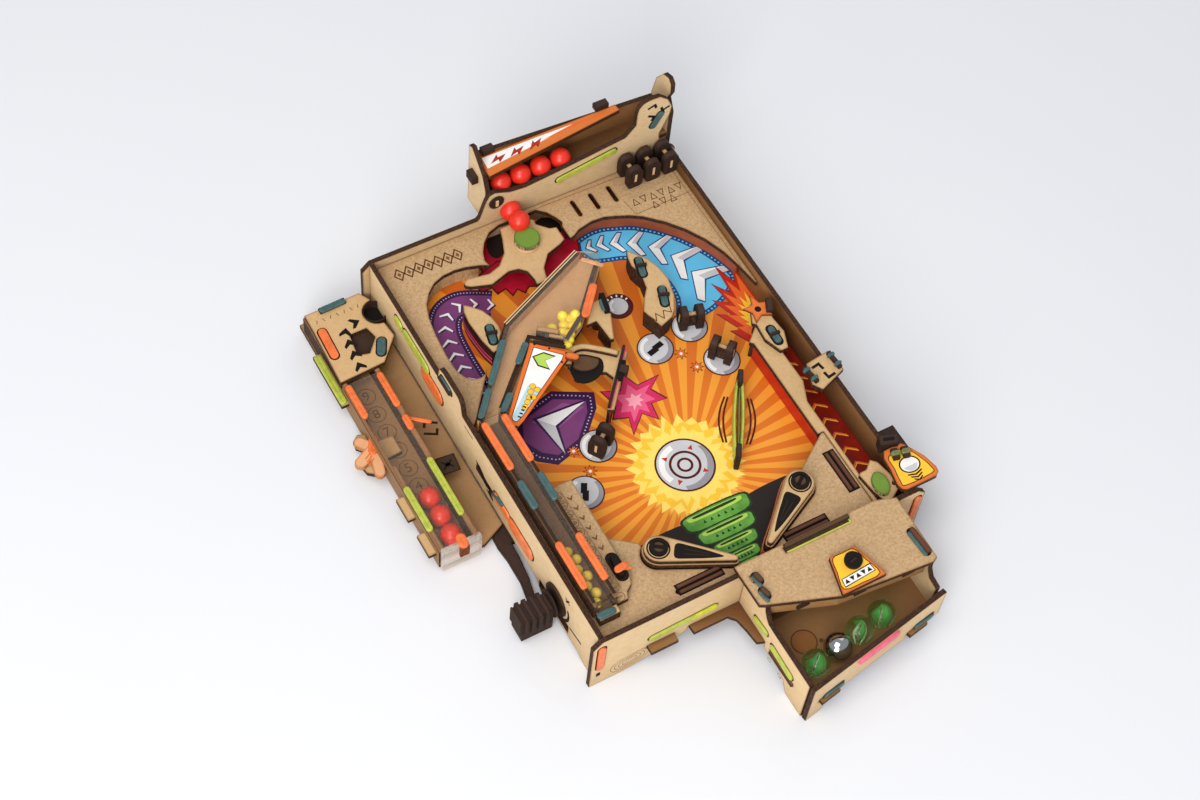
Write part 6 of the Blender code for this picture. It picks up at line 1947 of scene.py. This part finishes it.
@dataclass(frozen=True)
class CaseBands:
    """Bands, cut-outs and discs on the case's walls, and its buttons."""

    left_bands: tuple = ((235.0, 39.5, 11, LIME_BAND, 8.5), (212.4, 40.2, 33, LIME_BAND, 8.5), (192.5, 31.5, 27,
        ORANGE_BAND, 13.0), (107.0, 25.0, 20, ORANGE_BAND, 7.5), (84.5, 23.4, 29, ORANGE_BAND, 11.0))

    def build(self) -> None:
        """Adds the pieces of the walls."""
        for i, (y, z, length, finish, width) in enumerate(self.left_bands, 1):
            band(f"left_wall_band_{i}", (y, z), length, width, 0.0, finish, 0, **LEFT_FACE)
        band("left_tab_band", (175.5, 54.6), 14, 7.0, 0.0, TEAL_BAND, 0, **LEFT_FACE)
        slab("left_tab_pin", rectangle(168, 182, 55.4, 57.2), -2.4, 3.0, DARK, side=Side.ACROSS_X, bevel=0.3)
        band("left_wall_band_teal", (110.5, 27.5), 12, 3.0, -0.4, TEAL_BAND, -12, **LEFT_FACE, rim=False)
        band("front_wall_band", (52.4, 27.2), 43, 4.6, FRONT_WALL, LIME_BAND, 3.4, **FRONT_FACE)
        band("front_wall_band_tip", (66.0, 27.9), 17, 4.8, -3.2, YELLOW_BAND, 3.4, **FRONT_FACE, rim=False)
        for i, (x, z) in enumerate(((1.0, 31.0), (204.4, 30.0)), 1):
            band(f"front_corner_band_{i}", (x, z), 26, 4.6, FRONT_WALL, ORANGE_BAND, 90, **FRONT_FACE)
        print_on("front_corner_slot", [rectangle(-0.6, 2.0, 9.5, 13.5)], FRONT_WALL, BLACK, -1, side=Side.ACROSS_Y)
        ovals = [turned(pill(24 - 5 * i, 12.5 - 3 * i), (20.5, 10.4), 10) for i in range(4)]
        line_on("front_ovals", ovals, 0.4, FRONT_WALL, BURN, side=Side.ACROSS_Y, layer=-1)
        self.add_left_cuts()
        arm = [(-24, 38), (-24, 48), (-12, 50), (-10, 55), (-7.5, 70), (-7.5, 85), (-8.5, 95), (-8, 107),
            (11.5, 107), (13.5, 100), (11.5, 94), (-0.3, 94), (-0.5, 85), (-2, 70), (-5, 56), (-5, 38)]
        made = slab("left_button_arm", arm, 1.0, 4.0, DARK, "left_button", "dark_board")
        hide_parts("left_button")
        slab("left_button_core", rectangle(-24.8, -5.2, 37.0, 48.5), 4.0, 24.6, DARK, "left_button", "dark_board")
        slab("left_button_end", rectangle(-26.0, -24.9, 36.6, 48.9), 11.4, 24.9, SOOT_WOOD, "left_button",
            "dark_board")
        for name, x0, x1 in (("left_button", -26.5, -5.0), ("right_button", 209.4, 226.4)):
            for i in range(4):
                u = x0 + (x1 - x0) * (i + 1) / 5
                slab(f"{name}_plate_{i + 1}", rectangle(u - 1.3, u + 1.3, 35.4, 50.0), 10.6, 25.8, DARK, name,
                    "dark_board", bevel=0.5)

    @staticmethod
    def add_left_cuts() -> None:
        """Adds the left wall's cut-outs, slits and button disc."""
        where = {"level": 0.0, "layer": -1, "side": Side.ACROSS_X}
        print_on("left_wall_window", [[(138.5, 28.5), (133, 28.0), (124, 22.5), (117.5, 16.5), (117.0, 13.6),
            (122, 14.4), (131, 19.0), (137, 24.5)]], finish=BLACK, slot="dark_board", **where)
        line_on("left_wall_lever", [[(131, 18.6), (126, 17.4), (122.5, 18.4)]], 1.1, 0.0, PALE_EDGE, closed=False,
            side=Side.ACROSS_X, layer=-2)
        slits = [rectangle(143, 153, 43.4, 44.4), block(6.4, 0.8, (21.6, 14.8), -10)]
        print_on("left_wall_slits", slits, finish=BLACK, slot="dark_board", **where)
        hook = [(-2.4, 2.8), (-0.6, 2.2), (0.2, 0.6), (1.8, 1.6), (2.6, 0.2), (1.0, -0.6), (2.0, -2.6),
            (0.2, -2.0), (-0.4, -0.6), (-2.2, -1.6), (-2.6, -0.2), (-1.0, 0.4)]
        print_on("left_wall_hook", [turned(hook, (32.6, 36.4), 0)], finish=BLACK, slot="dark_board", **where)
        line_on("left_wall_bow", [arc((41.5, 21.5), 11.5, 150, 250, 12)], 2.0, 0.0, BLACK, closed=False,
            side=Side.ACROSS_X, layer=-1)
        slab("left_button_ring", circle((43, 22.0), 10.4, 40), -1.3, -0.15, SOOT_WOOD, side=Side.ACROSS_X,
            bevel=0.3)
        slab("left_button_disc", circle((43, 21.0), 8.6, 40), -4.9, -3.9, DARK, "left_button", "dark_board",
            side=Side.ACROSS_X, bevel=0.3)


# Stage

@dataclass(frozen=True)
class Stage:
    """Table, lights and the photo's camera."""

    floor_size: float = 8.0
    floor_colour: str = "#E3E5EA"
    floor_shade: str = "#DFE1E7"
    sky_colour: str = "#F3F4F6"
    sky_strength: float = 0.50
    lights: tuple = (("key_light", (-0.7, -0.35, 1.9), 1.3, 20.0, "#FFFDFA"), ("low_light", (-1.45, -1.45, 1.25),
        1.2, 38.0, "#FFFCF7"), ("fill_light", (1.3, 0.9, 1.6), 1.4, 4.0, "#FFFFFF"))
    place: tuple = (-0.39440, -0.52207, 1.07049)
    aim: tuple = (-0.00428, 0.02984, 0.030)
    roll: float = 6.918
    lens: float = 64.62

    def build(self) -> None:
        """Adds the stage."""
        self.add_floor()
        for name, place, size, power, colour in self.lights:
            self.add_light(name, place, size, power, colour)
        world = bpy.data.worlds.new("studio")
        world.use_nodes = True
        shader = world.node_tree.nodes["Background"]
        shader.inputs["Color"].default_value = linear(self.sky_colour)
        shader.inputs["Strength"].default_value = self.sky_strength
        bpy.context.scene.world = world
        self.add_camera()
        bpy.context.scene.view_settings.view_transform = "Standard"

    def add_floor(self) -> None:
        """Adds the white table."""
        graph = Graph("white_table")
        where = graph.place()
        colour = graph.mix(graph.noise(where, 260.0, 2.0), linear(self.floor_colour), linear(self.floor_shade))
        shader = graph.add("BsdfPrincipled", {"Base Color": colour, "Roughness": 0.8, "Specular IOR Level": 0.2})
        mesh = bpy.data.meshes.new("table")
        half = self.floor_size / 2
        mesh.from_pydata([(-half, -half, 0), (half, -half, 0), (half, half, 0), (-half, half, 0)], [],
            [(0, 1, 2, 3)])
        mesh.materials.append(graph.finish(shader))
        floor = bpy.data.objects.new("table", mesh)
        bpy.context.scene.collection.objects.link(floor)

    @staticmethod
    def add_light(name: str, place: Sequence[float], size: float, power: float, colour: str) -> None:
        """Adds a soft light that faces the game.

        Args:
            name: Its name.
            place: Its place in metres.
            size: Its width in metres.
            power: Its power in watts.
            colour: Its colour.
        """
        light = bpy.data.lights.new(name, "AREA")
        light.shape = "SQUARE"
        light.size = size
        light.energy = power
        light.color = linear(colour)[:3]
        made = bpy.data.objects.new(name, light)
        made.location = place
        made.rotation_euler = Vector(place).to_track_quat("Z", "Y").to_euler()
        bpy.context.scene.collection.objects.link(made)

    def add_camera(self) -> None:
        """Adds the camera that sees the game as the photo does."""
        camera = bpy.data.cameras.new("camera")
        camera.lens = self.lens
        camera.sensor_width = 36.0
        made = bpy.data.objects.new("camera", camera)
        back = (Vector(self.place) - Vector(self.aim)).normalized()
        right = Vector((0, 0, 1)).cross(back).normalized()
        turn = Matrix.Rotation(math.radians(self.roll), 3, back)
        right = turn @ right
        up = back.cross(right)
        made.matrix_world = Matrix.Translation(self.place) @ Matrix((right, up, back)).transposed().to_4x4()
        bpy.context.scene.collection.objects.link(made)
        bpy.context.scene.camera = made


def main() -> None:
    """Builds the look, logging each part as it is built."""
    logging.basicConfig(level=logging.INFO)
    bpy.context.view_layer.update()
    pegs = (
        ("plugged_peg_1", (156.0, 164.0), -16, LEVEL.field), ("plugged_peg_2", (160.6, 135.6), -52, LEVEL.field),
        ("plugged_peg_3", (66.8, 113.6), 34, LEVEL.field), ("stored_peg_1", (171.5, 265.5), 90, LEVEL.deck),
        ("stored_peg_2", (184.0, 265.5), 90, LEVEL.deck), ("stored_peg_3", (196.5, 265.5), 90, LEVEL.deck),
    )
    parts = [
        SheetWork(), PurpleLane(), ArchGuide(), BlueLane(), FieldArt(), LaunchLane(),
        Flipper("left_flipper", (55.5, 32.5), 1), Flipper("right_flipper", (147.0, 32.5), -1),
        ScoreChannel(), Vault(), RefillUnit(), BallTower(), TopBoard(), SmallLevers(), Launcher(), Tray(),
        CaseBands(), Stage(), *(PegLook(*peg) for peg in pegs),
    ]
    for part in parts:
        LOG.info("building %s", type(part).__name__)
        part.build()


if __name__ == "__main__":
    main()
